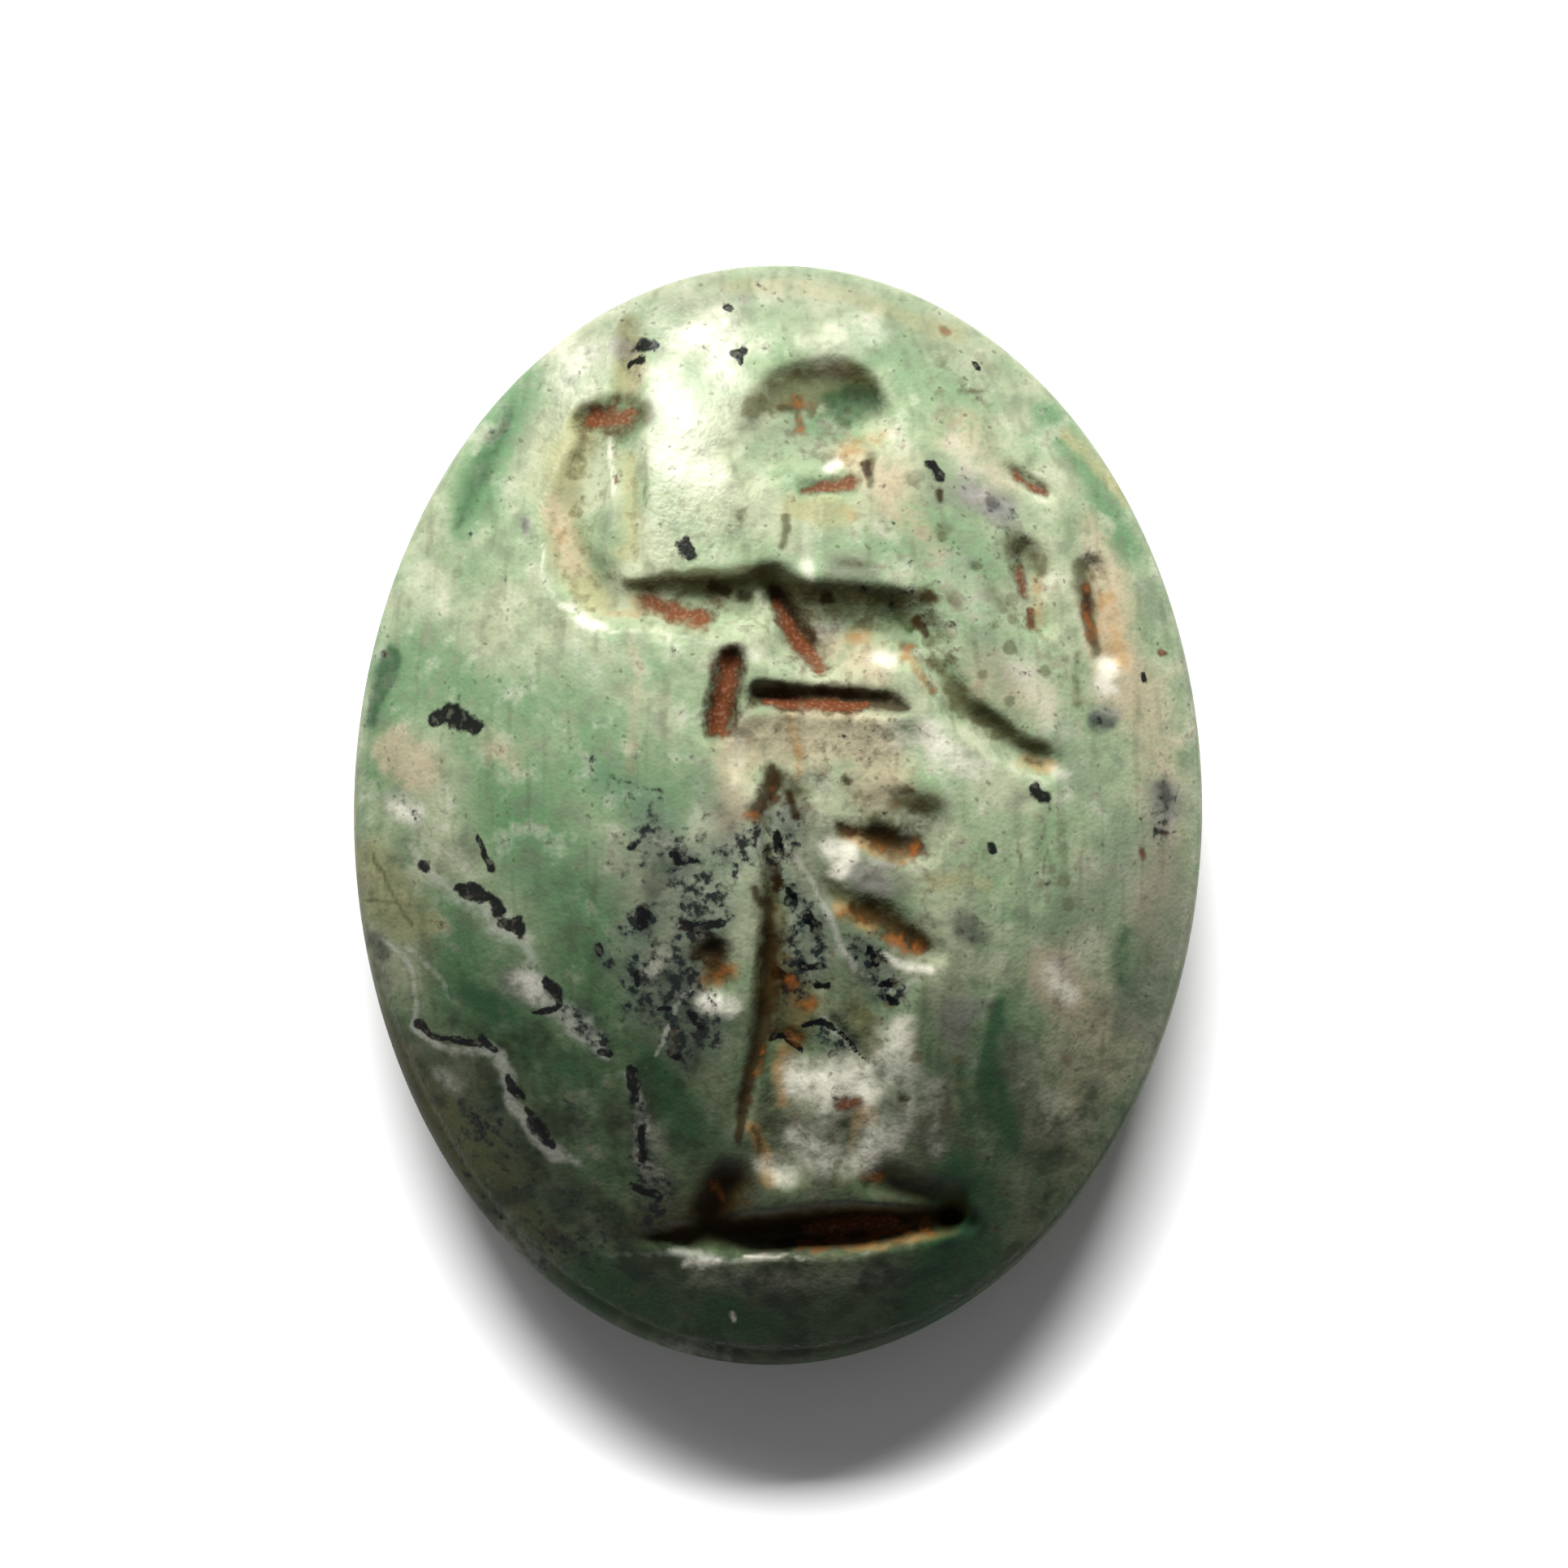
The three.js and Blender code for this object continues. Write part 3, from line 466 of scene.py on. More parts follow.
FLECK_ZONES = [
    ([(-1.6, -0.2), (-1.2, -0.6), (-0.95, -1.2)], (0.26, 0.34, 0.34), 1),
    ([(-1.8, -1.4), (-1.66, -1.3)], (0.22, 0.2), 1),
    ([(-0.95, -1.2), (-1, -1.6), (-1.3, -2.1)], (0.34, 0.26, 0.26), 1),
    ([(-1.4, -2.3), (-1, -2.6), (-1.2, -3)], (0.36, 0.36, 0.26), 1),
    ([(-1.8, -1.9), (-1.7, -2.4)], (0.2, 0.16), 0.9),
    ([(-2.3, -1.6), (-2.2, -1.8)], (0.16, 0.14), 0.8),
    ([(0, -0.7), (0.2, -1), (0.36, -1.5)], (0.2, 0.24, 0.24), 1),
    ([(0.36, -1.5), (0.4, -1.9), (0.1, -2.1)], (0.24, 0.26, 0.2), 1),
    ([(-0.4, -0.3), (-0.55, -0.5)], 0.24, 1),
    ([(1.1, -1.7), (1.4, -2.2)], (0.22, 0.26), 1),
    ([(0.1, 0.2), (0.1, -0.3)], 0.22, 0.8),
    ([(0.4, -2.6), (0.9, -2.86)], (0.16, 0.14), 0.9),
    ([(-2.5, -2.5), (-2.1, -2.9)], (0.18, 0.14), 1),
    ([(-1.8, -3.6), (-1.6, -4.6)], (0.12, 0.18), 0.8),
    ([(-1.5, -4.7), (-1.5, -5)], 0.2, 1),
    ([(2.24, -1.3), (2.5, -1.55)], (0.22, 0.24), 0.3),
    ([(2.8, 3.9), (2.9, 3.5)], (0.3, 0.26), 0.4),
    ([(1.9, 3.4), (2.8, 2.6)], 0.4, 0.3),
    ([(4.9, 0.2), (4.8, -0.1)], 0.25, 0.7),
    ([(4.1, 1.26), (4.2, 1.24)], (0.16, 0.14), 0.7),
    ([(-3.8, -4.6), (-2.6, -5.4)], 0.6, 0.5),
    ([(-4.9, 0.16), (-4.6, -0.04)], (0.16, 0.14), 0.7),
    ([(-3.8, -3.8), (-3.36, -4.1)], (0.26, 0.22), 0.7),
    ([(-2.1, 0.4), (-1.5, 0.1)], (0.35, 0.26), 0.4),
    ([(0.6, 0.6), (1.1, 0.9)], 0.4, 0.3),
    ([(1.2, 2.8), (1.6, 2.5)], (0.22, 0.2), 0.4),
]
SPOT_ZONES = [
    ([(1.7, 3.8), (2.4, 3.3), (2.2, 2.4), (2.8, 1.9)], (0.55, 0.6, 0.55, 0.5), 1),
    ([(2.5, 4.9), (2.1, 5.6)], 0.4, 0.6),
    ([(0.2, 1.2), (1.3, 0.8)], (0.4, 0.45), 0.7),
    ([(-1.3, 3.8), (-0.4, 3.6)], (0.5, 0.45), 0.5),
    ([(1.4, -2.6), (2, -3.4), (0.8, -4.2)], (0.4, 0.4, 0.5), 1),
    ([(2.6, 2.2), (3.4, 1.4)], 0.5, 0.8),
    ([(3.4, -0.2), (3.6, -1.2)], 0.4, 0.6),
    ([(-3.6, -3.4), (-3.8, -4.2)], 0.4, 0.7),
    ([(1.8, 0), (2.4, -0.6)], 0.4, 0.5),
    ([(-4.6, 4), (-3.6, 2.4)], (0.3, 0.4), 0.4),
]
SMUDGES_AND_SHADE = [
    ([(-5.06, -1.58), (-4.98, -1.7)], (0.13, 0.12), 1),
    ([(4.02, 1.22), (4.18, 1.25)], (0.14, 0.1), 0.9),
    ([(4.8, 0.36), (4.92, 0.1)], (0.13, 0.14), 0.8),
    ([(2.32, -1.36), (2.46, -1.5)], 0.2, 0.75),
    ([(-3.22, 3.7), (-3.18, 3.62)], 0.1, 0.5),
    ([(2.7, 4.02), (2.76, 3.92)], (0.1, 0.08), 0.8),
    ([(2.48, 3.12), (2.5, 3.05)], 0.06, 0.7),
    ([(1.84, -1.3), (2, -1.4)], 0.1, 0.4),
    ([(-3.5, -4.86), (-3.1, -4.8)], (0.16, 0.12), 0.9),
    ([(-4.4, -3.6), (-4.36, -3.66)], (0.1, 0.08), 0.7),
    ([(-4.06, -3.64), (-4.04, -3.74)], 0.07, 0.8),
    ([(-1.1, -0.5), (-1.3, -0.62)], (0.2, 0.14), 0.5),
    ([(-1.46, -0.66), (-1.6, -1)], (0.22, 0.18), 0.55),
    ([(-0.8, 0.1), (-0.6, -0.2)], (0.14, 0.16), 0.5),
    ([(-1.68, -1.3), (-1.7, -1.42)], (0.14, 0.12), 0.6),
    # Painted shade under the top edge of the shoulder
    ([(-0.4, 2.92), (0, 2.92)], (0.09, 0.08), 0.4),
    ([(2.1, -5.38), (2.6, -5.2)], 0.08, 0.8),
    # Painted shade in the crown of the helmet, in the next two marks
    ([(0.3, 5.58), (0.8, 5.6)], (0.14, 0.12), 0.4),
    ([(0.9, 5.3), (1.14, 5.25)], (0.14, 0.12), 0.5),
    ([(2.16, -5.04), (2.24, -5.08)], 0.12, 1),
    ([(1.4, -4.56), (2, -4.66)], (0.09, 0.11), 0.7),
    ([(-0.2, -6.1), (0.1, -6.2)], 0.12, 0.6),
    ([(0.8, -6.2), (0.95, -6.24)], (0.12, 0.1), 0.5),
    ([(1.1, -5.86), (1.2, -5.9)], 0.07, 0.6),
    ([(-0.5, -6), (-0.44, -6.06)], 0.06, 0.7),
    ([(-1.9, -5.7), (-1.6, -5.9)], (0.12, 0.14), 0.5),
    ([(1.4, -5.9), (2, -5.8)], (0.14, 0.12), 0.5),
    ([(-2.8, -5.3), (-2.5, -5.6)], 0.12, 0.6),
    ([(1.3, -0.24), (1.42, -0.26)], (0.12, 0.1), 0.7),
]
BLACK_MARKS = [
    ([(-4.38, 1.18), (-4.12, 1.26), (-3.82, 1.12)], (0.06, 0.17, 0.12)),
    ([(-3.77, -0.25), (-3.7, -0.46), (-3.58, -0.66)], (0.04, 0.05, 0.06)),
    ([(-4.47, -0.6), (-4.43, -0.67)], (0.06, 0.07)),
    ([(-4.04, -0.9), (-3.84, -0.96), (-3.6, -1.02)], (0.07, 0.12, 0.06)),
    ([(-3.56, -1.08), (-3.5, -1.2)], (0.09, 0.1)),
    ([(-3.5, -1.34), (-3.26, -1.36), (-3.22, -1.46)], (0.06, 0.1, 0.08)),
    ([(-2.26, -1.62), (-2.22, -1.72)], (0.06, 0.05)),
    ([(-1.68, -1.2), (-1.66, -1.36)], (0.09, 0.1)),
    ([(-1.8, -0.36), (-1.84, -0.42)], 0.05),
    ([(-2.9, -2.06), (-2.8, -2.2), (-2.74, -2.38)], (0.05, 0.1, 0.04)),
    ([(-3.08, -2.49), (-2.92, -2.45), (-2.8, -2.42)], (0.03, 0.05, 0.06)),
    ([(-2.22, -2.96), (-2.1, -2.98)], 0.05),
    ([(-4.56, -2.64), (-4.42, -2.78), (-4.1, -2.84)], (0.07, 0.04, 0.03)),
    ([(-4.1, -2.84), (-3.84, -2.86), (-3.72, -2.84), (-3.58, -2.96)], (0.04, 0.07, 0.09, 0.04)),
    ([(-3.4, -3.28), (-3.34, -3.4), (-3.22, -3.56)], (0.04, 0.07, 0.05)),
    ([(-3.16, -3.72), (-3.02, -3.94), (-2.84, -4.18)], (0.05, 0.12, 0.06)),
    ([(-1.82, -3.2), (-1.8, -3.56)], (0.08, 0.07)),
    ([(-1.72, -3.9), (-1.68, -4.3)], (0.04, 0.06)),
    ([(-1.84, -4.66), (-1.5, -4.8)], (0.05, 0.06)),
    ([(-0.68, 6.44), (-0.6, 6.4)], 0.05),
    ([(-1.68, 5.94), (-1.54, 5.92)], (0.12, 0.06)),
    ([(-1.86, 5.68), (-1.72, 5.76)], (0.04, 0.05)),
    ([(-0.56, 5.84), (-0.44, 5.86)], (0.06, 0.07)),
    ([(-0.5, 5.8), (-0.46, 5.68)], (0.08, 0.04)),
    ([(-1.16, 3.36), (-1.12, 3.32)], 0.12),
    ([(2.48, 5.74), (2.53, 5.66)], (0.04, 0.05)),
    ([(1.92, 4.42), (2.03, 4.26)], 0.07),
    ([(4.61, 1.8), (4.63, 1.7)], 0.04),
    ([(3.22, 0.3), (3.34, 0.22)], (0.1, 0.08)),
    ([(2.66, -0.36), (2.69, -0.44)], 0.05),
    ([(-1.34, -0.46), (-1.2, -0.56), (-1.04, -0.56)], (0.05, 0.09, 0.04)),
    ([(-1.14, -1.36), (-0.9, -1.38), (-0.7, -1.34)], (0.07, 0.09, 0.06)),
    ([(0, -0.22), (0, -0.4)], 0.07),
    ([(0.12, -0.92), (0.2, -1)], 0.05),
    ([(0.36, -1.22), (0.46, -1.4)], (0.07, 0.09)),
    ([(0.32, -1.86), (0.54, -1.88)], (0.05, 0.06)),
    ([(-0.02, -1.96), (0.1, -2.02)], (0.06, 0.07)),
    ([(0.5, -2.12), (0.64, -2.12)], 0.05),
    ([(0.32, -2.66), (0.44, -2.6), (0.66, -2.62)], (0.04, 0.06, 0.05)),
    ([(0.66, -2.62), (0.9, -2.84), (1.1, -3.06)], (0.025, 0.03, 0.02)),
    ([(-0.1, -2.78), (0.06, -2.76), (0.28, -2.92)], (0.04, 0.05, 0.04)),
    ([(1.14, -1.66), (1.2, -1.84)], (0.05, 0.06)),
    ([(1.3, -2.1), (1.46, -2.08)], 0.05),
    ([(1.36, -2.26), (1.48, -2.34)], 0.05),
    ([(-1.5, -2.42), (-1.34, -2.42)], 0.03),
    ([(-1.32, -2.96), (-1.24, -3)], 0.06),
    ([(-1.1, -2.46), (-0.94, -2.6)], 0.06),
    ([(-1.76, -1.96), (-1.74, -2.1)], 0.04),
]
BROWN_MARKS = [
    ([(-0.28, 1.49), (0.6, 1.48), (1.3, 1.42), (1.6, 1.34)], (0.13, 0.12, 0.12, 0.05)),
    ([(-0.56, 1.98), (-0.66, 1.5), (-0.78, 1.06)], (0.13, 0.18, 0.1)),
    ([(-0.1, 0.6), (-0.06, 0.36), (-0.26, 0.1)], (0.08, 0.14, 0.1)),
    ([(0.12, 0.26), (0.22, 0)], (0.05, 0.06)),
    ([(-0.04, -0.64), (-0.02, -0.86)], 0.06),
    ([(-0.28, -0.92), (-0.22, -1.1)], (0.06, 0.07)),
    ([(-0.12, -1.1), (-0.12, -1.7), (-0.1, -2.1)], (0.08, 0.1, 0.14)),
    ([(-0.1, -2.1), (-0.14, -2.5), (-0.28, -3), (-0.44, -3.6)], (0.15, 0.16, 0.1, 0.07)),
    ([(-0.44, -3.6), (-0.48, -4.1)], (0.07, 0.04)),
    ([(0.8, -0.16), (0.96, -0.18)], (0.07, 0.06)),
    ([(1.1, -0.22), (1.4, -0.3), (1.76, -0.38)], (0.08, 0.14, 0.12)),
    ([(0.96, -1.16), (1.4, -1.36), (1.84, -1.66)], (0.08, 0.14, 0.1)),
    ([(-0.06, 2.84), (0.1, 2.56), (0.34, 2.16)], (0.08, 0.13, 0.13)),
    ([(-1.5, -5.32), (-0.8, -5.24), (0.5, -5.18), (2.2, -5.08)], (0.04, 0.14, 0.22, 0.12)),
    ([(-1, -1.7), (-0.8, -1.66), (-0.8, -1.84)], (0.12, 0.16, 0.12)),
    ([(-0.6, -4.6), (-0.8, -5)], (0.25, 0.28)),
    ([(3.86, 2.86), (3.9, 2.5)], (0.05, 0.04)),
    ([(1.75, 2.44), (1.84, 2.3)], (0.07, 0.06)),
    ([(1.86, 2.76), (1.9, 2.72)], 0.08),
    ([(2.02, 4.06), (2.04, 3.98)], (0.05, 0.04)),
    ([(-0.8, 2.86), (-0.66, 2.82)], 0.07),
    ([(-0.46, 2.74), (-0.38, 2.72)], (0.07, 0.06)),
    ([(0.56, 2.76), (0.66, 2.72)], 0.06),
    ([(1.1, 4.44), (1.14, 4.3)], (0.05, 0.04)),
    ([(1.56, -3.52), (1.62, -3.54)], (0.06, 0.05)),
    ([(0.84, 0.48), (0.9, 0.44)], 0.05),
]
RUST_MARKS = [
    ([(-2.3, 5), (-2.08, 5), (-1.84, 5.06)], (0.16, 0.24, 0.12)),
    ([(-1.6, 2.68), (-0.94, 2.44)], (0.17, 0.15)),
    ([(0.4, -5.24), (1, -5.16), (1.5, -5.12)], (0.1, 0.13, 0.08)),
    ([(-0.02, 2.66), (0.2, 2.24), (0.52, 1.86)], (0.08, 0.15, 0.12)),
    ([(-0.6, 1.9), (-0.74, 1.1)], (0.18, 0.17)),
    ([(-0.14, 1.42), (0.5, 1.4), (1.1, 1.37)], (0.08, 0.1, 0.07)),
    ([(0.3, 4.08), (0.6, 4.14), (0.9, 4.16)], (0.05, 0.1, 0.12)),
    ([(2.98, 4.32), (3.06, 4.22), (3.4, 4.06)], (0.07, 0.07, 0.04)),
    ([(0.78, -3.62), (0.98, -3.6)], 0.08),
    ([(4.83, 2.07), (4.9, 2.06)], (0.05, 0.04)),
    ([(-2.06, 4.26), (-2.05, 4.2)], 0.04),
    ([(4.58, -0.44), (4.62, -0.54)], (0.04, 0.05)),
    ([(3.04, 3.06), (3.1, 2.78)], (0.11, 0.08)),
    ([(3.16, 2.56), (3.18, 2.42)], 0.05),
]
ORANGE_MARKS = [
    ([(0.24, 5.26), (0.27, 4.86)], 0.06),
    ([(0.04, 5.16), (0.16, 5.12)], 0.05),
    ([(3.16, 2.6), (3.18, 2.36)], 0.04),
    ([(3.9, 2.84), (3.96, 2.2)], (0.07, 0.06)),
    ([(1.16, -0.36), (1.5, -0.5), (1.76, -0.4)], (0.06, 0.08, 0.07)),
    ([(1.3, -1.48), (1.56, -1.6), (1.76, -1.64)], (0.06, 0.11, 0.08)),
    ([(0.8, -1.24), (1, -1.3)], (0.07, 0.06)),
    ([(-0.86, -2.04), (-0.66, -1.98)], (0.08, 0.1)),
    ([(0.34, -2.38), (0.44, -2.34)], (0.07, 0.06)),
    ([(0.16, -2.06), (0.18, -2.1)], 0.05),
    ([(0.18, -2.7), (0.28, -2.8)], 0.07),
    ([(-0.16, -2.9), (-0.24, -3.2)], (0.04, 0.05)),
    ([(-0.3, -3.9), (-0.2, -4.2)], (0.04, 0.05)),
    ([(-0.38, 0.02), (-0.22, -0.04)], (0.06, 0.05)),
    ([(-0.04, 0.26), (0, 0.18)], (0.07, 0.06)),
    ([(1.85, 1.68), (1.92, 1.54)], 0.04),
    ([(1.54, 2.14), (1.64, 2.1)], (0.06, 0.05)),
    ([(3.16, 0.7), (3.3, 0.66)], (0.05, 0.04)),
    ([(2.09, 6.14), (2.14, 6.11)], (0.05, 0.04)),
    ([(0, -5.38), (0.9, -5.34), (1.9, -5.2)], (0.07, 0.12, 0.07)),
    ([(1.1, -4.58), (1.3, -4.54)], (0.06, 0.04)),
    ([(-0.8, -4.6), (-0.7, -4.8)], 0.05),
]


def noise(x, y, cell, seed):
    """Smooth hills and dips from -1 to 1, about one cell across."""
    side = 64
    lattice = np.random.default_rng(seed).uniform(-1, 1, (side, side))
    u, v = x / cell + side / 2, y / cell + side / 2
    i, j = np.floor(u).astype(int), np.floor(v).astype(int)
    s, t = u - i, v - j
    s, t = s * s * (3 - 2 * s), t * t * (3 - 2 * t)
    lower = lattice[i % side, j % side] * (1 - s) + lattice[(i + 1) % side, j % side] * s
    upper = lattice[i % side, (j + 1) % side] * (1 - s) + lattice[(i + 1) % side, (j + 1) % side] * s
    return lower * (1 - t) + upper * t


def cloud(x, y, cell, seed, octaves=4):
    """Noise with finer noise on it, from about -1 to 1."""
    total = sum(noise(x, y, cell / 2**k, seed + k) / 2**k for k in range(octaves))
    return total / 1.5


def smooth_step(low_edge, high_edge, value):
    share = np.clip((value - low_edge) / (high_edge - low_edge), 0, 1)
    return share * share * (3 - 2 * share)


def softened(values, passes):
    """A grid of values, each blended with its neighbours a number of times."""
    for _ in range(passes):
        for axis in (0, 1):
            edge = np.pad(values, [(1, 1) if a == axis else (0, 0) for a in (0, 1)], mode="edge")
            before, after = (edge[:-2], edge[2:]) if axis == 0 else (edge[:, :-2], edge[:, 2:])
            values = 0.5 * values + 0.25 * (before + after)
    return values


# The outline, as in the solid
def unit_radius(angle):
    return (
        1
        + EGG * np.sin(angle)
        + LEAN * np.sin(2 * angle)
        + TRIPLE_COS * np.cos(3 * angle)
        + TRIPLE_SIN * np.sin(3 * angle)
    )


turn = np.linspace(0, 2 * math.pi, OUTLINE_STEPS, endpoint=False)
unit_x = unit_radius(turn) * np.cos(turn)
unit_y = unit_radius(turn) * np.sin(turn)


def place(angle, share):
    """Millimetres on the stone, at an angle and a share of the outline's radius."""
    x = share * unit_radius(angle) * np.cos(angle) - (unit_x.max() + unit_x.min()) / 2
    y = share * unit_radius(angle) * np.sin(angle) - (unit_y.max() + unit_y.min()) / 2
    return x * STONE_WIDTH / np.ptp(unit_x), y * STONE_LENGTH / np.ptp(unit_y)


def share_inside(angle, distance):
    x, y = place(angle, 1.0)
    return 1 - distance / np.hypot(x, y)


def rim_inset(angle):
    away = np.arctan2(np.sin(angle - WORN_RIM_ANGLE), np.cos(angle - WORN_RIM_ANGLE))
    return RIM_INSET + (RIM_INSET_WORN - RIM_INSET) * np.exp(-((away / WORN_RIM_SPREAD) ** 4))


def smooth_path(points, steps):
    """Points spaced along a curve through the given ones."""
    p = np.array(points, float)
    if len(p) == 2:
        return p[0] + np.linspace(0, 1, steps)[:, None] * (p[1] - p[0])
    p = np.vstack([2 * p[0] - p[1], p, 2 * p[-1] - p[-2]])
    out = []
    for s in np.linspace(0, len(points) - 1 - 1e-9, steps):
        i = int(s)
        a, b, c, d = p[i : i + 4]
        u = s - i
        bend = (2 * a - 5 * b + 4 * c - d) * u**2 + (3 * b - a - 3 * c + d) * u**3
        out.append(0.5 * (2 * b + (c - a) * u + bend))
    return np.array(out)


def read_along(values, shares):
    """The value at each share of the way along a path, from one value or values spaced along it."""
    values = np.atleast_1d(values)
    return np.interp(shares, np.linspace(0, 1, len(values)), values)


def nearest_on_path(x, y, path, half_widths):
    """How far each point lies from a path, as a share of the path's half width there, and where."""
    steps = 2 if len(path) == 2 else 6 * len(path)
    line = smooth_path(path, steps)
    reach = np.full(x.shape, np.inf)
    where = np.zeros(x.shape)
    for k in range(steps - 1):
        a, b = line[k], line[k + 1]
        step = b - a
        along = np.clip(((x - a[0]) * step[0] + (y - a[1]) * step[1]) / (step @ step), 0, 1)
        share = (k + along) / (steps - 1)
        apart = np.hypot(x - a[0] - along * step[0], y - a[1] - along * step[1])
        apart = apart / read_along(half_widths, share)
        closer = apart < reach
        reach = np.where(closer, apart, reach)
        where = np.where(closer, share, where)
    return reach, where


def near_path(x, y, path, margin):
    """Which points lie within a margin of a path's box."""
    p = np.array(path)
    near = (x > p[:, 0].min() - margin) & (x < p[:, 0].max() + margin)
    return near & (y > p[:, 1].min() - margin) & (y < p[:, 1].max() + margin)


CUT_MARGIN = 0.3
HOLLOW_WOBBLE = 0.045  # how far the edges of the hollows stray
WHEEL_WOBBLE = 0.02
CREASE = 0.05  # width over which one hollow rounds into the next
HOLLOW_WEAR = 8  # passes of softening
WHEEL_WEAR = 4


def cut_depth(x, y, cut):
    """Depth of one cut at every point."""
    path, half_widths, depths, softness = cut
    near = near_path(x, y, path, np.max(half_widths) + CUT_MARGIN)
    depth = np.zeros(x.shape)
    reach, where = nearest_on_path(x[near], y[near], path, half_widths)
    inside = np.clip(1 - reach**2, 0, 1)
    depth[near] = DEEPEST_CUT * read_along(depths, where) * inside**softness
    return depth


def blend_max(a, b, width):
    """The larger of two depths, with the crease between them rounded over a width."""
    mix = np.clip(0.5 + 0.5 * (a - b) / width, 0, 1)
    both = np.minimum(a, b) > 0
    return b * (1 - mix) + a * mix + width * mix * (1 - mix) * both


def carving(x, y):
    """Depth of the hollows, and of the wheel cuts in them, at points of the layout."""
    wx = x + HOLLOW_WOBBLE * cloud(x, y, 0.45, 11)
    wy = y + HOLLOW_WOBBLE * cloud(x, y, 0.45, 21)
    hollow = np.zeros(x.shape)
    for cut in HOLLOWS.values():
        hollow = blend_max(hollow, cut_depth(wx, wy, cut), CREASE)
    fx = x + WHEEL_WOBBLE * cloud(x, y, 0.25, 31)
    fy = y + WHEEL_WOBBLE * cloud(x, y, 0.25, 41)
    wheel = np.zeros(x.shape)
    for cut in WHEEL_CUTS.values():
        wheel = np.maximum(wheel, cut_depth(fx, fy, cut))
    return softened(hollow, HOLLOW_WEAR), softened(wheel, WHEEL_WEAR)


def face_points():
    """Angles and shares of a grid of points that covers the face, by rows from the bottom."""
    s, t = np.meshgrid(np.linspace(-1, 1, FACE_ACROSS + 1), np.linspace(-1, 1, FACE_ALONG + 1))
    u, v = s * np.sqrt(1 - t * t / 2), t * np.sqrt(1 - s * s / 2)
    return np.arctan2(v, u), np.hypot(u, v)


angle, share = face_points()
face_x, face_y = place(angle, share * share_inside(angle, rim_inset(angle)))
edge_distance = (1 - share) * np.hypot(*place(angle, 1.0))
dome = FACE_EDGE_HEIGHT + DOME_RISE * (1 - share**DOME_POWER)
dome -= EDGE_DROP * np.exp(-edge_distance / EDGE_SOFTNESS)
layout_x, layout_y = face_x * LAYOUT_WIDTH / STONE_WIDTH, face_y * LAYOUT_LENGTH / STONE_LENGTH
hollow, wheel = carving(layout_x, layout_y)
depth = hollow + wheel

# The worn face dips and rises a little, and the floors of the cuts more
ROUGH_FLOOR = 0.028
ROUGH_FACE = 0.004
in_cut = smooth_step(0.01, 0.12, depth)
rough = in_cut * ROUGH_FLOOR * (cloud(layout_x, layout_y, 0.28, 51, 3) + 0.4)
rough += ROUGH_FACE * (cloud(layout_x, layout_y, 1.1, 61, 3) + 1)
face_z = np.minimum(dome - depth - rough * smooth_step(0, 0.3, edge_distance), STONE_TOP)

# The grid's border, in order round the stone
number = np.arange(face_z.size).reshape(face_z.shape)
border = np.concatenate([number[0, :-1], number[:-1, -1], number[-1, :0:-1], number[:0:-1, 0]])


def side_rings():
    """Rings down the side, each an inset from the outline and a height, from the face to the back."""
    rim_drop = RIM_HEIGHT - EDGE_DROP
    stations = [
        (0.75, GIRDLE_HEIGHT + rim_drop * 0.88),
        (0.3, GIRDLE_HEIGHT + rim_drop * 0.45),
        (0.05, GIRDLE_HEIGHT + rim_drop * 0.12),
    ]
    rings = [(lambda a, k=k: rim_inset(a) * k, z) for k, z in stations]
    below = [
        (0.0, GIRDLE_HEIGHT * 0.97),
        (BACK_INSET * 0.08, GIRDLE_HEIGHT * 0.82),
        (BACK_INSET * 0.3, GIRDLE_HEIGHT * 0.55),
        (BACK_INSET * 0.65, GIRDLE_HEIGHT * 0.28),
        (BACK_INSET, BACK_EDGE_ROUND),
        (BACK_INSET + BACK_EDGE_ROUND * 0.3, BACK_EDGE_ROUND * 0.3),
        (BACK_INSET + BACK_EDGE_ROUND, 0.0),
    ]
    rings += [(lambda a, d=d: d + 0 * a, z) for d, z in below]
    return rings


def stone_mesh():
    quads = np.stack([number[:-1, :-1], number[:-1, 1:], number[1:, 1:], number[1:, :-1]], -1)
    points = [np.stack([face_x.ravel(), face_y.ravel(), face_z.ravel()], -1)]
    faces = [quads.reshape(-1, 4)]
    around = angle.ravel()[border]
    last = border
    count = number.size
    for inset, height in side_rings():
        x, y = place(around, share_inside(around, inset(around)))
        points.append(np.stack([x, y, np.full(x.shape, height)], -1))
        ring = count + np.arange(len(border))
        count += len(border)
        faces.append(np.stack([np.roll(last, -1), last, ring, np.roll(ring, -1)], -1))
        last = ring
    made = bpy.data.meshes.new("engraved_stone")
    all_points = np.concatenate(points) * MM
    all_faces = [tuple(q) for q in np.concatenate(faces)] + [tuple(last[::-1])]
    made.from_pydata(all_points.tolist(), [], all_faces)
    made.update()
    made.shade_smooth()
    return made


mesh = stone_mesh()


SOFT_REACH = 2.4  # half widths out to which a soft mark counts
SOFT_FALL = 0.8
CRISP_REACH = 2
SOFT_WOBBLE = 0.12
CRISP_WOBBLE = 0.04


def soft_marks(x, y, marks, wobble, seed):
    """Strength from 0 to 1 of soft-edged marks, with ragged edges."""
    wx = x + wobble * cloud(x, y, 0.6, seed)
    wy = y + wobble * cloud(x, y, 0.6, seed + 10)
    clear = np.ones(x.shape)
    for path, half_widths, strength in marks:
        near = near_path(wx, wy, path, SOFT_REACH * np.max(half_widths))
        reach, _ = nearest_on_path(wx[near], wy[near], path, half_widths)
        clear[near] *= 1 - strength * np.exp(-(reach**2) * SOFT_FALL)
    return 1 - clear


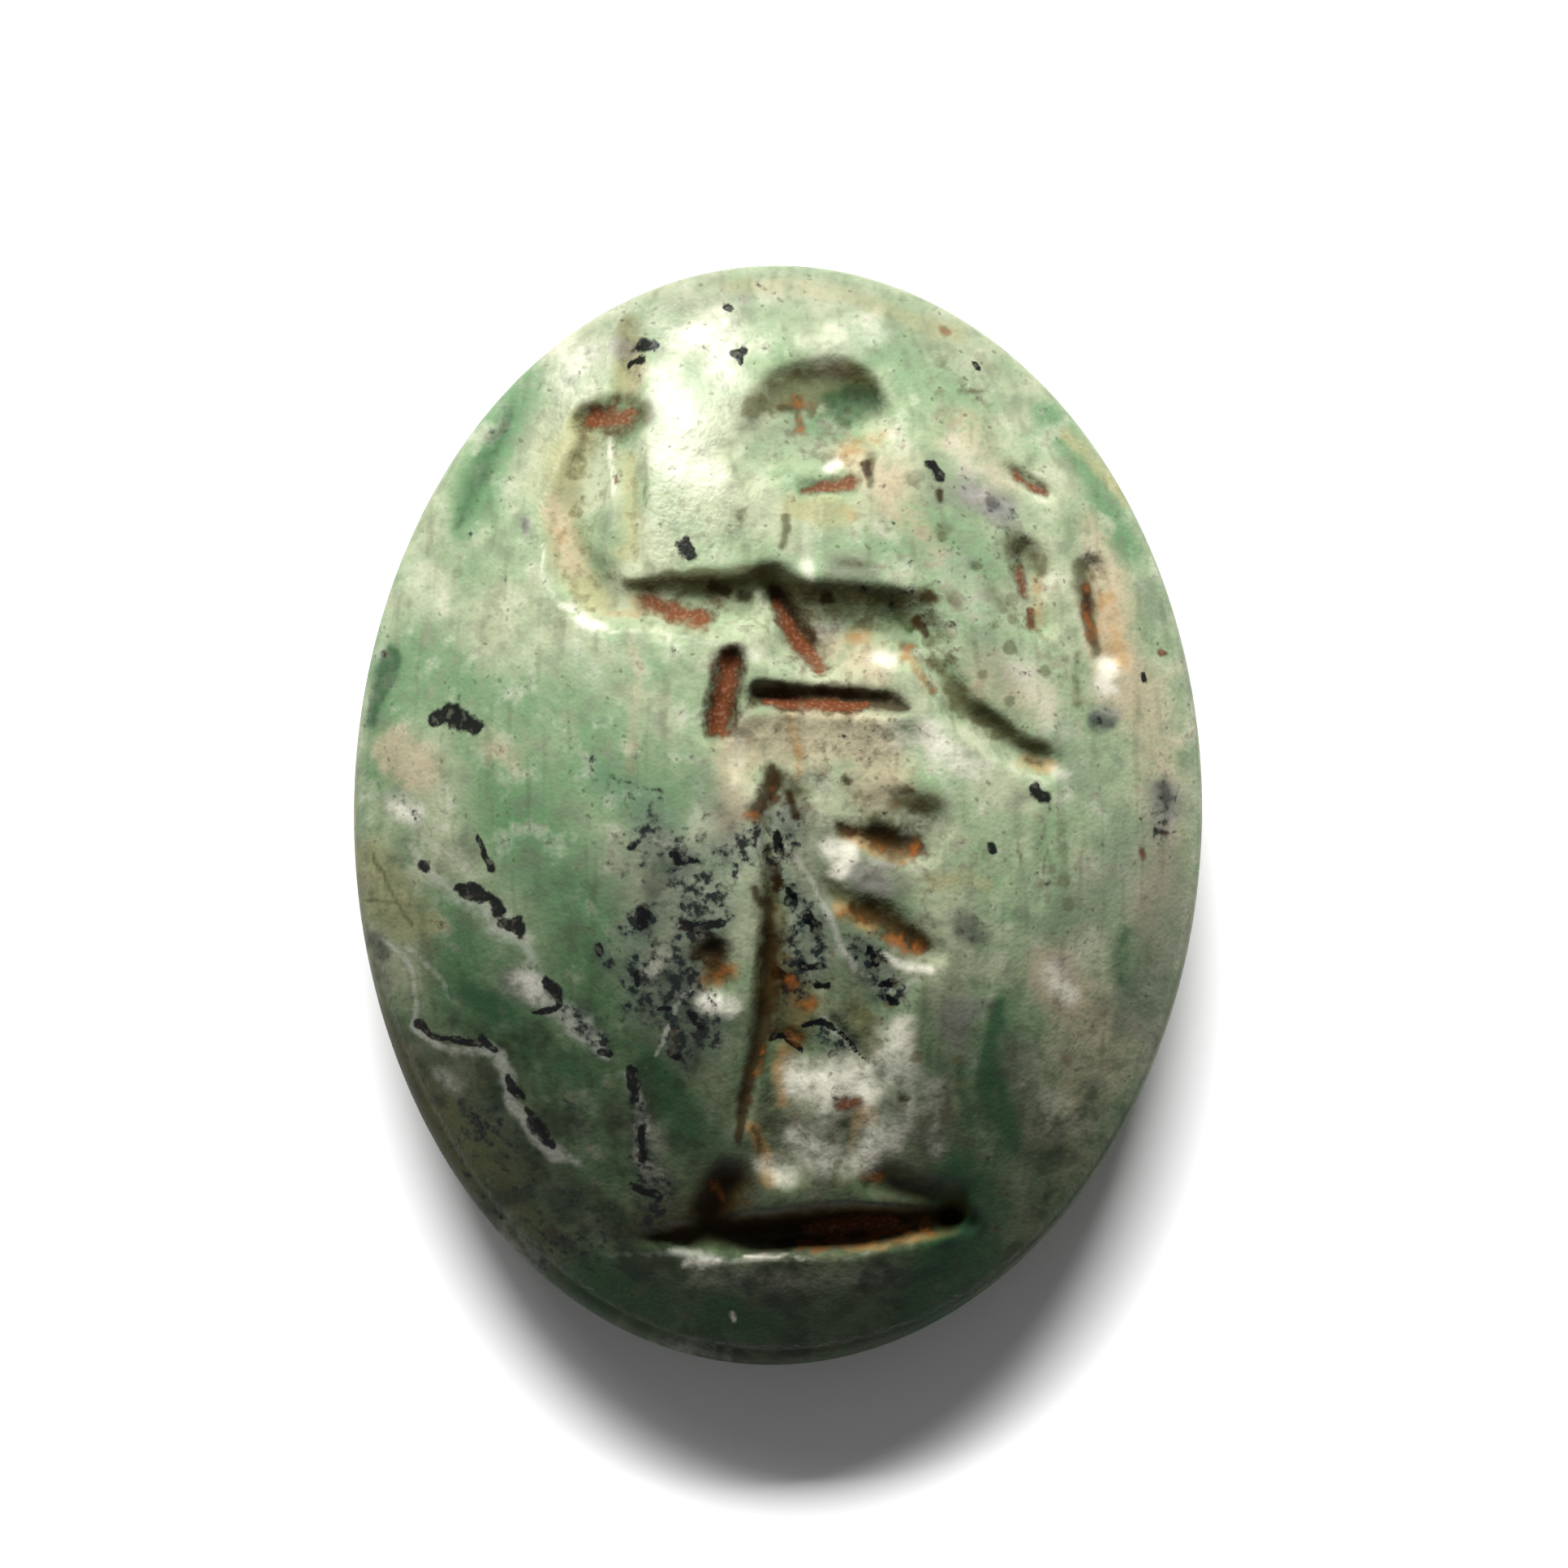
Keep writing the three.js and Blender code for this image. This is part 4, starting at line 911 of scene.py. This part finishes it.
def crisp_marks(x, y, marks, wobble, seed):
    """How deep each point lies inside a mark: 1 on its middle line, 0 at its edge, negative outside."""
    wx = x + wobble * cloud(x, y, 0.14, seed)
    wy = y + wobble * cloud(x, y, 0.14, seed + 10)
    level = np.full(x.shape, -1.0)
    for path, half_widths in marks:
        near = near_path(wx, wy, path, CRISP_REACH * np.max(half_widths))
        reach, _ = nearest_on_path(wx[near], wy[near], path, half_widths)
        level[near] = np.maximum(level[near], 1 - reach)
    return level


def store(name, values, side_value=None):
    """Keeps a value for each point of the stone. The side's points take the value of the rim above, or
    one of their own."""
    flat = values.ravel()
    rings = (len(mesh.vertices) - flat.size) // len(border)
    around = flat[border] if side_value is None else np.full(len(border), side_value)
    everywhere = np.concatenate([flat, np.tile(around, rings)])
    mesh.attributes.new(name, "FLOAT", "POINT").data.foreach_set("value", everywhere.astype(np.float32))


SOFT_MARKS = {
    "green": GREEN_CLOUDS,
    "deep_green": DEEP_GREEN_CLOUDS,
    "warm": WARM_CLOUDS,
    "pale_and_highlight": PALE_CLOUDS_AND_HIGHLIGHTS,
    "grey": GREY_CLOUDS,
    "lavender": LAVENDER_CLOUDS,
    "ochre": OCHRE_CLOUDS,
    "olive_and_shade": OLIVE_CLOUDS_AND_SHADE,
    "yellow": YELLOW_CLOUDS,
    "vein_and_highlight": VEINS_AND_HIGHLIGHTS,
    "flecks": FLECK_ZONES,
    "spots": SPOT_ZONES,
    "smudge_and_shade": SMUDGES_AND_SHADE,
}
CRISP_MARKS = {"black": BLACK_MARKS, "brown": BROWN_MARKS, "rust": RUST_MARKS, "orange": ORANGE_MARKS}
for seed, (name, marks) in enumerate(SOFT_MARKS.items()):
    store(name, soft_marks(layout_x, layout_y, marks, SOFT_WOBBLE, 100 + 20 * seed))
for seed, (name, marks) in enumerate(CRISP_MARKS.items()):
    store(name, crisp_marks(layout_x, layout_y, marks, CRISP_WOBBLE, 400 + 20 * seed))

# Narrow cuts get a little dirt and painted shade, the walls that face down get painted shade, and the face is
# painted darker towards the foot as painted shade.
# The cuts, their walls and the side are matte.
NARROW = 60  # passes of softening that level out a narrow cut
upward = np.gradient(depth, axis=0) / np.gradient(face_y, axis=0)
store("cut_dirt_and_shade", smooth_step(0.02, 0.14, depth - softened(depth, NARROW)))
store("upper_wall_shade", smooth_step(0.35, 1.3, -upward))
store("in_cut", in_cut)
store("side", smooth_step(0.12, 0.0, edge_distance), 1.0)
slope = np.hypot(upward, np.gradient(depth, axis=1) / np.gradient(face_x, axis=1))
store("matte", softened(np.maximum(in_cut, smooth_step(0.1, 0.5, slope)), 2), 1.0)
# The painted shade at the foot reaches less far up on the right and has a ragged edge
dark_side = 0.2 * layout_x + 0.6 * cloud(layout_x, layout_y, 1.5, 71)
store("low", smooth_step(1.2, -4.6, layout_y + dark_side))
store("high", smooth_step(4.2, 6.8, layout_y) * smooth_step(1.2, 0.2, edge_distance))

stone = bpy.data.objects.new("engraved_stone", mesh)
bpy.context.scene.collection.objects.link(stone)
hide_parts("gem")
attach(stone, "root")


# The stone's material, worked out in millimetres on the object
LAMPS_ON_STONE = 1.9  # light on the middle of the face, as a multiple of what shows a white card white


def colour(red, green, blue):
    """The stone's own colour where the lit stone shows as this one, from 0 to 255, on a screen."""
    parts = [c / 255 for c in (red, green, blue)]
    seen = [c / 12.92 if c <= 0.04045 else ((c + 0.055) / 1.055) ** 2.4 for c in parts]
    return tuple(c / LAMPS_ON_STONE for c in seen) + (1.0,)


material = bpy.data.materials.new("green_stone")
material.use_nodes = True
tree = material.node_tree
shader = tree.nodes["Principled BSDF"]


def add(kind, settings, inputs):
    """A node with its settings and inputs. An input is a number, a colour or another node's output."""
    node = tree.nodes.new(kind)
    for name, value in settings.items():
        setattr(node, name, value)
    for name, value in inputs.items():
        if isinstance(value, bpy.types.NodeSocket):
            tree.links.new(value, node.inputs[name])
        else:
            node.inputs[name].default_value = value
    return node


def maths(operation, a, b):
    return add("ShaderNodeMath", {"operation": operation}, {0: a, 1: b}).outputs[0]


def plus(a, b):
    return maths("ADD", a, b)


def minus(a, b):
    return maths("SUBTRACT", a, b)


def times(a, b):
    return maths("MULTIPLY", a, b)


def rise(value, start, end):
    """0 below the start, 1 above the end, and a smooth rise between."""
    settings = {"interpolation_type": "SMOOTHSTEP"}
    inputs = {"Value": value, "From Min": start, "From Max": end}
    return add("ShaderNodeMapRange", settings, inputs).outputs["Result"]


def mark(name):
    return add("ShaderNodeAttribute", {"attribute_name": name}, {}).outputs["Fac"]


MOTTLE_ROUGHNESS = 0.55


def mottle(size, seed, detail, stretch=1.0):
    """Noise from 0 to 1 whose hills are about the given size across, in millimetres. A stretch below 1
    draws them out along Y."""
    inputs = {0: position, 1: (1.0, stretch, 1.0), 2: (17.3 * seed, 31.7 * seed, 7.9 * seed)}
    inputs = {
        "Vector": add("ShaderNodeVectorMath", {"operation": "MULTIPLY_ADD"}, inputs).outputs[0],
        "Scale": 1 / size,
        "Detail": detail,
        "Roughness": MOTTLE_ROUGHNESS,
    }
    return add("ShaderNodeTexNoise", {"noise_dimensions": "3D"}, inputs).outputs["Fac"]


def tint(under, over, amount, blend="MIX"):
    """One colour laid over another."""
    node = add("ShaderNodeMix", {"data_type": "RGBA", "blend_type": blend}, {})
    for name, value in (("Factor_Float", amount), ("A_Color", under), ("B_Color", over)):
        socket = next(s for s in node.inputs if s.identifier == name)
        if isinstance(value, bpy.types.NodeSocket):
            tree.links.new(value, socket)
        else:
            socket.default_value = value
    return next(s for s in node.outputs if s.identifier == "Result_Color")


coordinates = tree.nodes.new("ShaderNodeTexCoord")
position = add(
    "ShaderNodeVectorMath", {"operation": "SCALE"}, {0: coordinates.outputs["Object"], "Scale": 1 / MM}
).outputs[0]

PALE_STONE = colour(193, 200, 165)
SAGE_STONE = colour(166, 186, 146)
JADE = colour(98, 148, 100)
DEEP_JADE = colour(33, 74, 44)
DARK_STONE = colour(69, 83, 64)
YELLOW_STONE = colour(184, 182, 134)
OLIVE_STONE = colour(132, 138, 104)
BEIGE = colour(208, 190, 158)
CREAM = colour(250, 246, 226)
GREY_STONE = colour(127, 132, 114)
LAVENDER = colour(158, 148, 150)
OCHRE = colour(190, 148, 92)
OLIVE_DIRT_AND_SHADE = colour(84, 82, 50)
WALL_SHADE = colour(114, 100, 56)
LOW_SHADE = (0.27, 0.29, 0.25, 1.0)
RIM_SHADE = (0.85, 0.85, 0.76, 1.0)
MOTTLE_SHADE = (0.5, 0.54, 0.5, 1.0)
VEIN_AND_HIGHLIGHT = colour(196, 196, 184)
SLATE = colour(118, 130, 128)
DARK_FLECK_AND_SHADE = colour(26, 33, 34)
INCLUSION = colour(8, 9, 12)
BROWN = colour(50, 31, 7)
RUST = colour(114, 64, 38)
RUST_GRAIN = colour(176, 130, 106)
ORANGE = colour(156, 94, 44)

broad = mottle(1.4, 1.0, detail=2.0)
patchy = mottle(0.8, 2.0, detail=3.0)
middling = mottle(0.36, 3.0, detail=3.0)
fine = mottle(0.13, 4.0, detail=2.0)
grains = mottle(0.05, 5.0, detail=0.0)
streaks = mottle(0.16, 8.0, detail=1.0, stretch=0.1)
ragged = plus(times(middling, 0.55), times(fine, 0.45))
raggedness = minus(ragged, 0.5)


def clouded(name, start=0.1, end=0.85, broken=2.4):
    """A soft mark whose strength is broken up by the mottling."""
    strength = plus(times(raggedness, broken), 1.0)
    return rise(times(mark(name), strength), start, end)


def edged(name, start, end, broken):
    """A crisp mark whose edge is broken up by the finer mottling."""
    return rise(plus(mark(name), times(raggedness, broken)), start, end)


base = tint(PALE_STONE, SAGE_STONE, rise(broad, 0.42, 0.58))
base = tint(base, JADE, times(rise(patchy, 0.5, 0.7), 0.35))
base = tint(base, JADE, times(clouded("green"), 0.75))
base = tint(base, CREAM, times(rise(middling, 0.5, 0.75), 0.38))
base = tint(base, GREY_STONE, times(rise(middling, 0.5, 0.28), 0.38))
spotted = times(rise(ragged, 0.46, 0.6), rise(mark("spots"), 0.1, 0.6))
base = tint(base, OLIVE_STONE, times(spotted, 0.6))
base = tint(base, YELLOW_STONE, times(clouded("yellow"), 0.8))
base = tint(base, BEIGE, times(clouded("warm"), 0.75))
base = tint(base, GREY_STONE, times(clouded("grey"), 0.6))
base = tint(base, LAVENDER, times(clouded("lavender"), 0.6))
base = tint(base, DARK_STONE, times(times(rise(patchy, 0.5, 0.36), mark("low")), 0.7))
base = tint(base, SLATE, times(clouded("flecks"), 0.42))
base = tint(base, OLIVE_DIRT_AND_SHADE, times(rise(streaks, 0.52, 0.75), 0.25))
base = tint(base, GREY_STONE, times(rise(fine, 0.5, 0.75), 0.25))
base = tint(base, GREY_STONE, times(mark("high"), 0.4))
# Painted shade: the face darkens towards the foot, and the side there more
base = tint(base, LOW_SHADE, mark("low"), "MULTIPLY")
shaded = plus(times(mark("low"), 0.5), 0.3)
base = tint(base, MOTTLE_SHADE, times(rise(ragged, 0.54, 0.36), shaded), "MULTIPLY")
base = tint(base, RIM_SHADE, times(mark("low"), mark("side")), "MULTIPLY")
base = tint(base, OLIVE_DIRT_AND_SHADE, times(times(mark("in_cut"), rise(ragged, 0.46, 0.62)), 0.35))
base = tint(base, OCHRE, times(clouded("ochre"), 0.7))
# Olive stone, and painted shade in the crown and under the shoulders and arms
base = tint(base, OLIVE_DIRT_AND_SHADE, times(clouded("olive_and_shade"), 0.8))
base = tint(base, DEEP_JADE, times(clouded("deep_green"), 0.72))
# Pale stone, and painted highlights
base = tint(base, CREAM, times(clouded("pale_and_highlight", 0.1, 1.1), 0.8))
# Pale veins, and painted highlights on the ground line's lip and the lower-left bevel
base = tint(base, VEIN_AND_HIGHLIGHT, times(clouded("vein_and_highlight", 0.25, 1.05), 0.5))
# Painted shade on the walls that face down, away from the lamps
base = tint(base, WALL_SHADE, times(mark("upper_wall_shade"), 0.6))
# A little dirt and painted shade in the narrow cuts
base = tint(base, OLIVE_DIRT_AND_SHADE, times(mark("cut_dirt_and_shade"), 0.2))
SPOTS_PER_MM = 2.6
cells = add("ShaderNodeTexVoronoi", {}, {"Vector": position, "Scale": SPOTS_PER_MM, "Randomness": 1.0})
spot = rise(plus(cells.outputs["Distance"], times(raggedness, 0.4)), 0.3, 0.18)
base = tint(base, OLIVE_DIRT_AND_SHADE, times(times(spot, clouded("spots", broken=0.3)), 0.6))

# Dark minerals break along small facets
FACET_SIZE = 0.07
warp = {0: raggedness, 1: (0.25, -0.2, 0.1), 2: position}
bent = add("ShaderNodeVectorMath", {"operation": "MULTIPLY_ADD"}, warp).outputs[0]
facets = add("ShaderNodeTexVoronoi", {}, {"Vector": bent, "Scale": 1 / FACET_SIZE, "Randomness": 1.0})
facet_draws = add("ShaderNodeSeparateColor", {}, {0: facets.outputs["Color"]}).outputs
facet = minus(facet_draws[0], 0.5)
speck = rise(plus(facet_draws[1], times(mark("spots"), 0.03)), 0.97, 0.985)
speck = times(speck, rise(facets.outputs["Distance"], 0.5, 0.3))
base = tint(base, OLIVE_DIRT_AND_SHADE, times(speck, 0.5))
clumps = plus(mottle(0.13, 7.0, detail=3.0), times(facet, 0.1))
clumps = plus(clumps, times(minus(middling, 0.5), 0.5))
clumps = plus(clumps, times(mark("flecks"), 0.3))
base = tint(base, DARK_FLECK_AND_SHADE, times(rise(clumps, 0.62, 0.88), 0.65))
base = tint(base, DARK_FLECK_AND_SHADE, times(rise(clumps, 0.75, 0.9), 0.9))
# Dark smudges, and painted shade at the shoulder and in the crown
base = tint(base, DARK_FLECK_AND_SHADE, times(clouded("smudge_and_shade"), 0.65))
black = plus(mark("black"), times(facet, 0.35))
black = rise(plus(black, times(raggedness, 1.6)), -0.2, 0.35)
black_colour = tint(INCLUSION, GREY_STONE, times(rise(fine, 0.54, 0.72), 0.35))
base = tint(base, black_colour, times(black, 0.97))
brown = edged("brown", -0.8, 0.6, 2.6)
base = tint(base, BROWN, times(brown, 0.88))
orange = edged("orange", -0.9, 0.9, 3.0)
base = tint(base, tint(BROWN, ORANGE, rise(ragged, 0.42, 0.64)), times(orange, 0.72))
rust = edged("rust", -0.55, 0.8, 2.6)
rust_colour = tint(BROWN, RUST, rise(plus(mark("rust"), times(raggedness, 1.6)), -0.1, 0.7))
rust_colour = tint(rust_colour, RUST_GRAIN, times(rise(grains, 0.48, 0.8), 0.4))
base = tint(base, rust_colour, times(rust, 0.92))
tree.links.new(base, shader.inputs["Base Color"])

worn = maths("MAXIMUM", mark("matte"), mark("side"))
roughness = plus(times(worn, 0.3), times(ragged, 0.3))
tree.links.new(plus(roughness, 0.1), shader.inputs["Roughness"])
sheen = minus(0.5, times(worn, 0.42))
tree.links.new(sheen, shader.inputs["Specular IOR Level"])
STONE_IOR = 1.52
shader.inputs["IOR"].default_value = STONE_IOR

GRAIN_DEPTH = 0.016 * MM
height = plus(fine, times(grains, 0.4))
bump = add("ShaderNodeBump", {}, {"Height": height, "Strength": 0.6, "Distance": GRAIN_DEPTH})
tree.links.new(bump.outputs["Normal"], shader.inputs["Normal"])
mesh.materials.append(material)


# Floor
FLOOR_SIZE = 0.6
bpy.ops.mesh.primitive_plane_add(size=FLOOR_SIZE)
floor = bpy.context.object
floor.name = "floor"
floor_material = bpy.data.materials.new("pale_floor")
floor_material.use_nodes = True
floor_shader = floor_material.node_tree.nodes["Principled BSDF"]
floor_shader.inputs["Base Color"].default_value = (0.95, 0.95, 0.95, 1)
floor_shader.inputs["Roughness"].default_value = 0.9
floor_shader.inputs["Specular IOR Level"].default_value = 0.0
floor.data.materials.append(floor_material)


def direction(azimuth, elevation):
    """Azimuth turns from +Y towards -X, in degrees."""
    a, e = math.radians(azimuth), math.radians(elevation)
    return Vector((-math.sin(a) * math.cos(e), math.cos(a) * math.cos(e), math.sin(e)))


LAMP_DISTANCE = 0.15
SKY_STRENGTH = 0.15


def softbox(name, azimuth, elevation, size, watts):
    lamp = bpy.data.lights.new(name, "AREA")
    lamp.shape = "RECTANGLE"
    lamp.size, lamp.size_y = size
    lamp.energy = watts
    thing = bpy.data.objects.new(name, lamp)
    bpy.context.scene.collection.objects.link(thing)
    thing.location = direction(azimuth, elevation) * LAMP_DISTANCE
    thing.rotation_euler = thing.location.to_track_quat("Z", "Y").to_euler()
    return thing


key = softbox("key", azimuth=4, elevation=38, size=(0.11, 0.035), watts=0.65)
key.visible_glossy = False
softbox("left", azimuth=26, elevation=37, size=(0.06, 0.05), watts=0.05)

world = bpy.data.worlds.new("studio")
bpy.context.scene.world = world
world.use_nodes = True
world.node_tree.nodes["Background"].inputs["Color"].default_value = (1, 1, 1, 1)
world.node_tree.nodes["Background"].inputs["Strength"].default_value = SKY_STRENGTH

# Camera, straight above the face
CAMERA_DISTANCE = 0.1
FRAME_WIDTH = 19.9 * MM
CAMERA_X = 0.077 * MM
CAMERA_Y = 0.397 * MM
SENSOR = 36.0
camera_data = bpy.data.cameras.new("camera")
camera_data.sensor_width = SENSOR
camera_data.clip_start = 0.005
camera_data.clip_end = 5
camera_data.lens = SENSOR * CAMERA_DISTANCE / FRAME_WIDTH
camera = bpy.data.objects.new("camera", camera_data)
bpy.context.scene.collection.objects.link(camera)
camera.location = (CAMERA_X, CAMERA_Y, FACE_EDGE_HEIGHT * MM + CAMERA_DISTANCE)
bpy.context.scene.camera = camera
bpy.context.scene.view_settings.view_transform = "Standard"
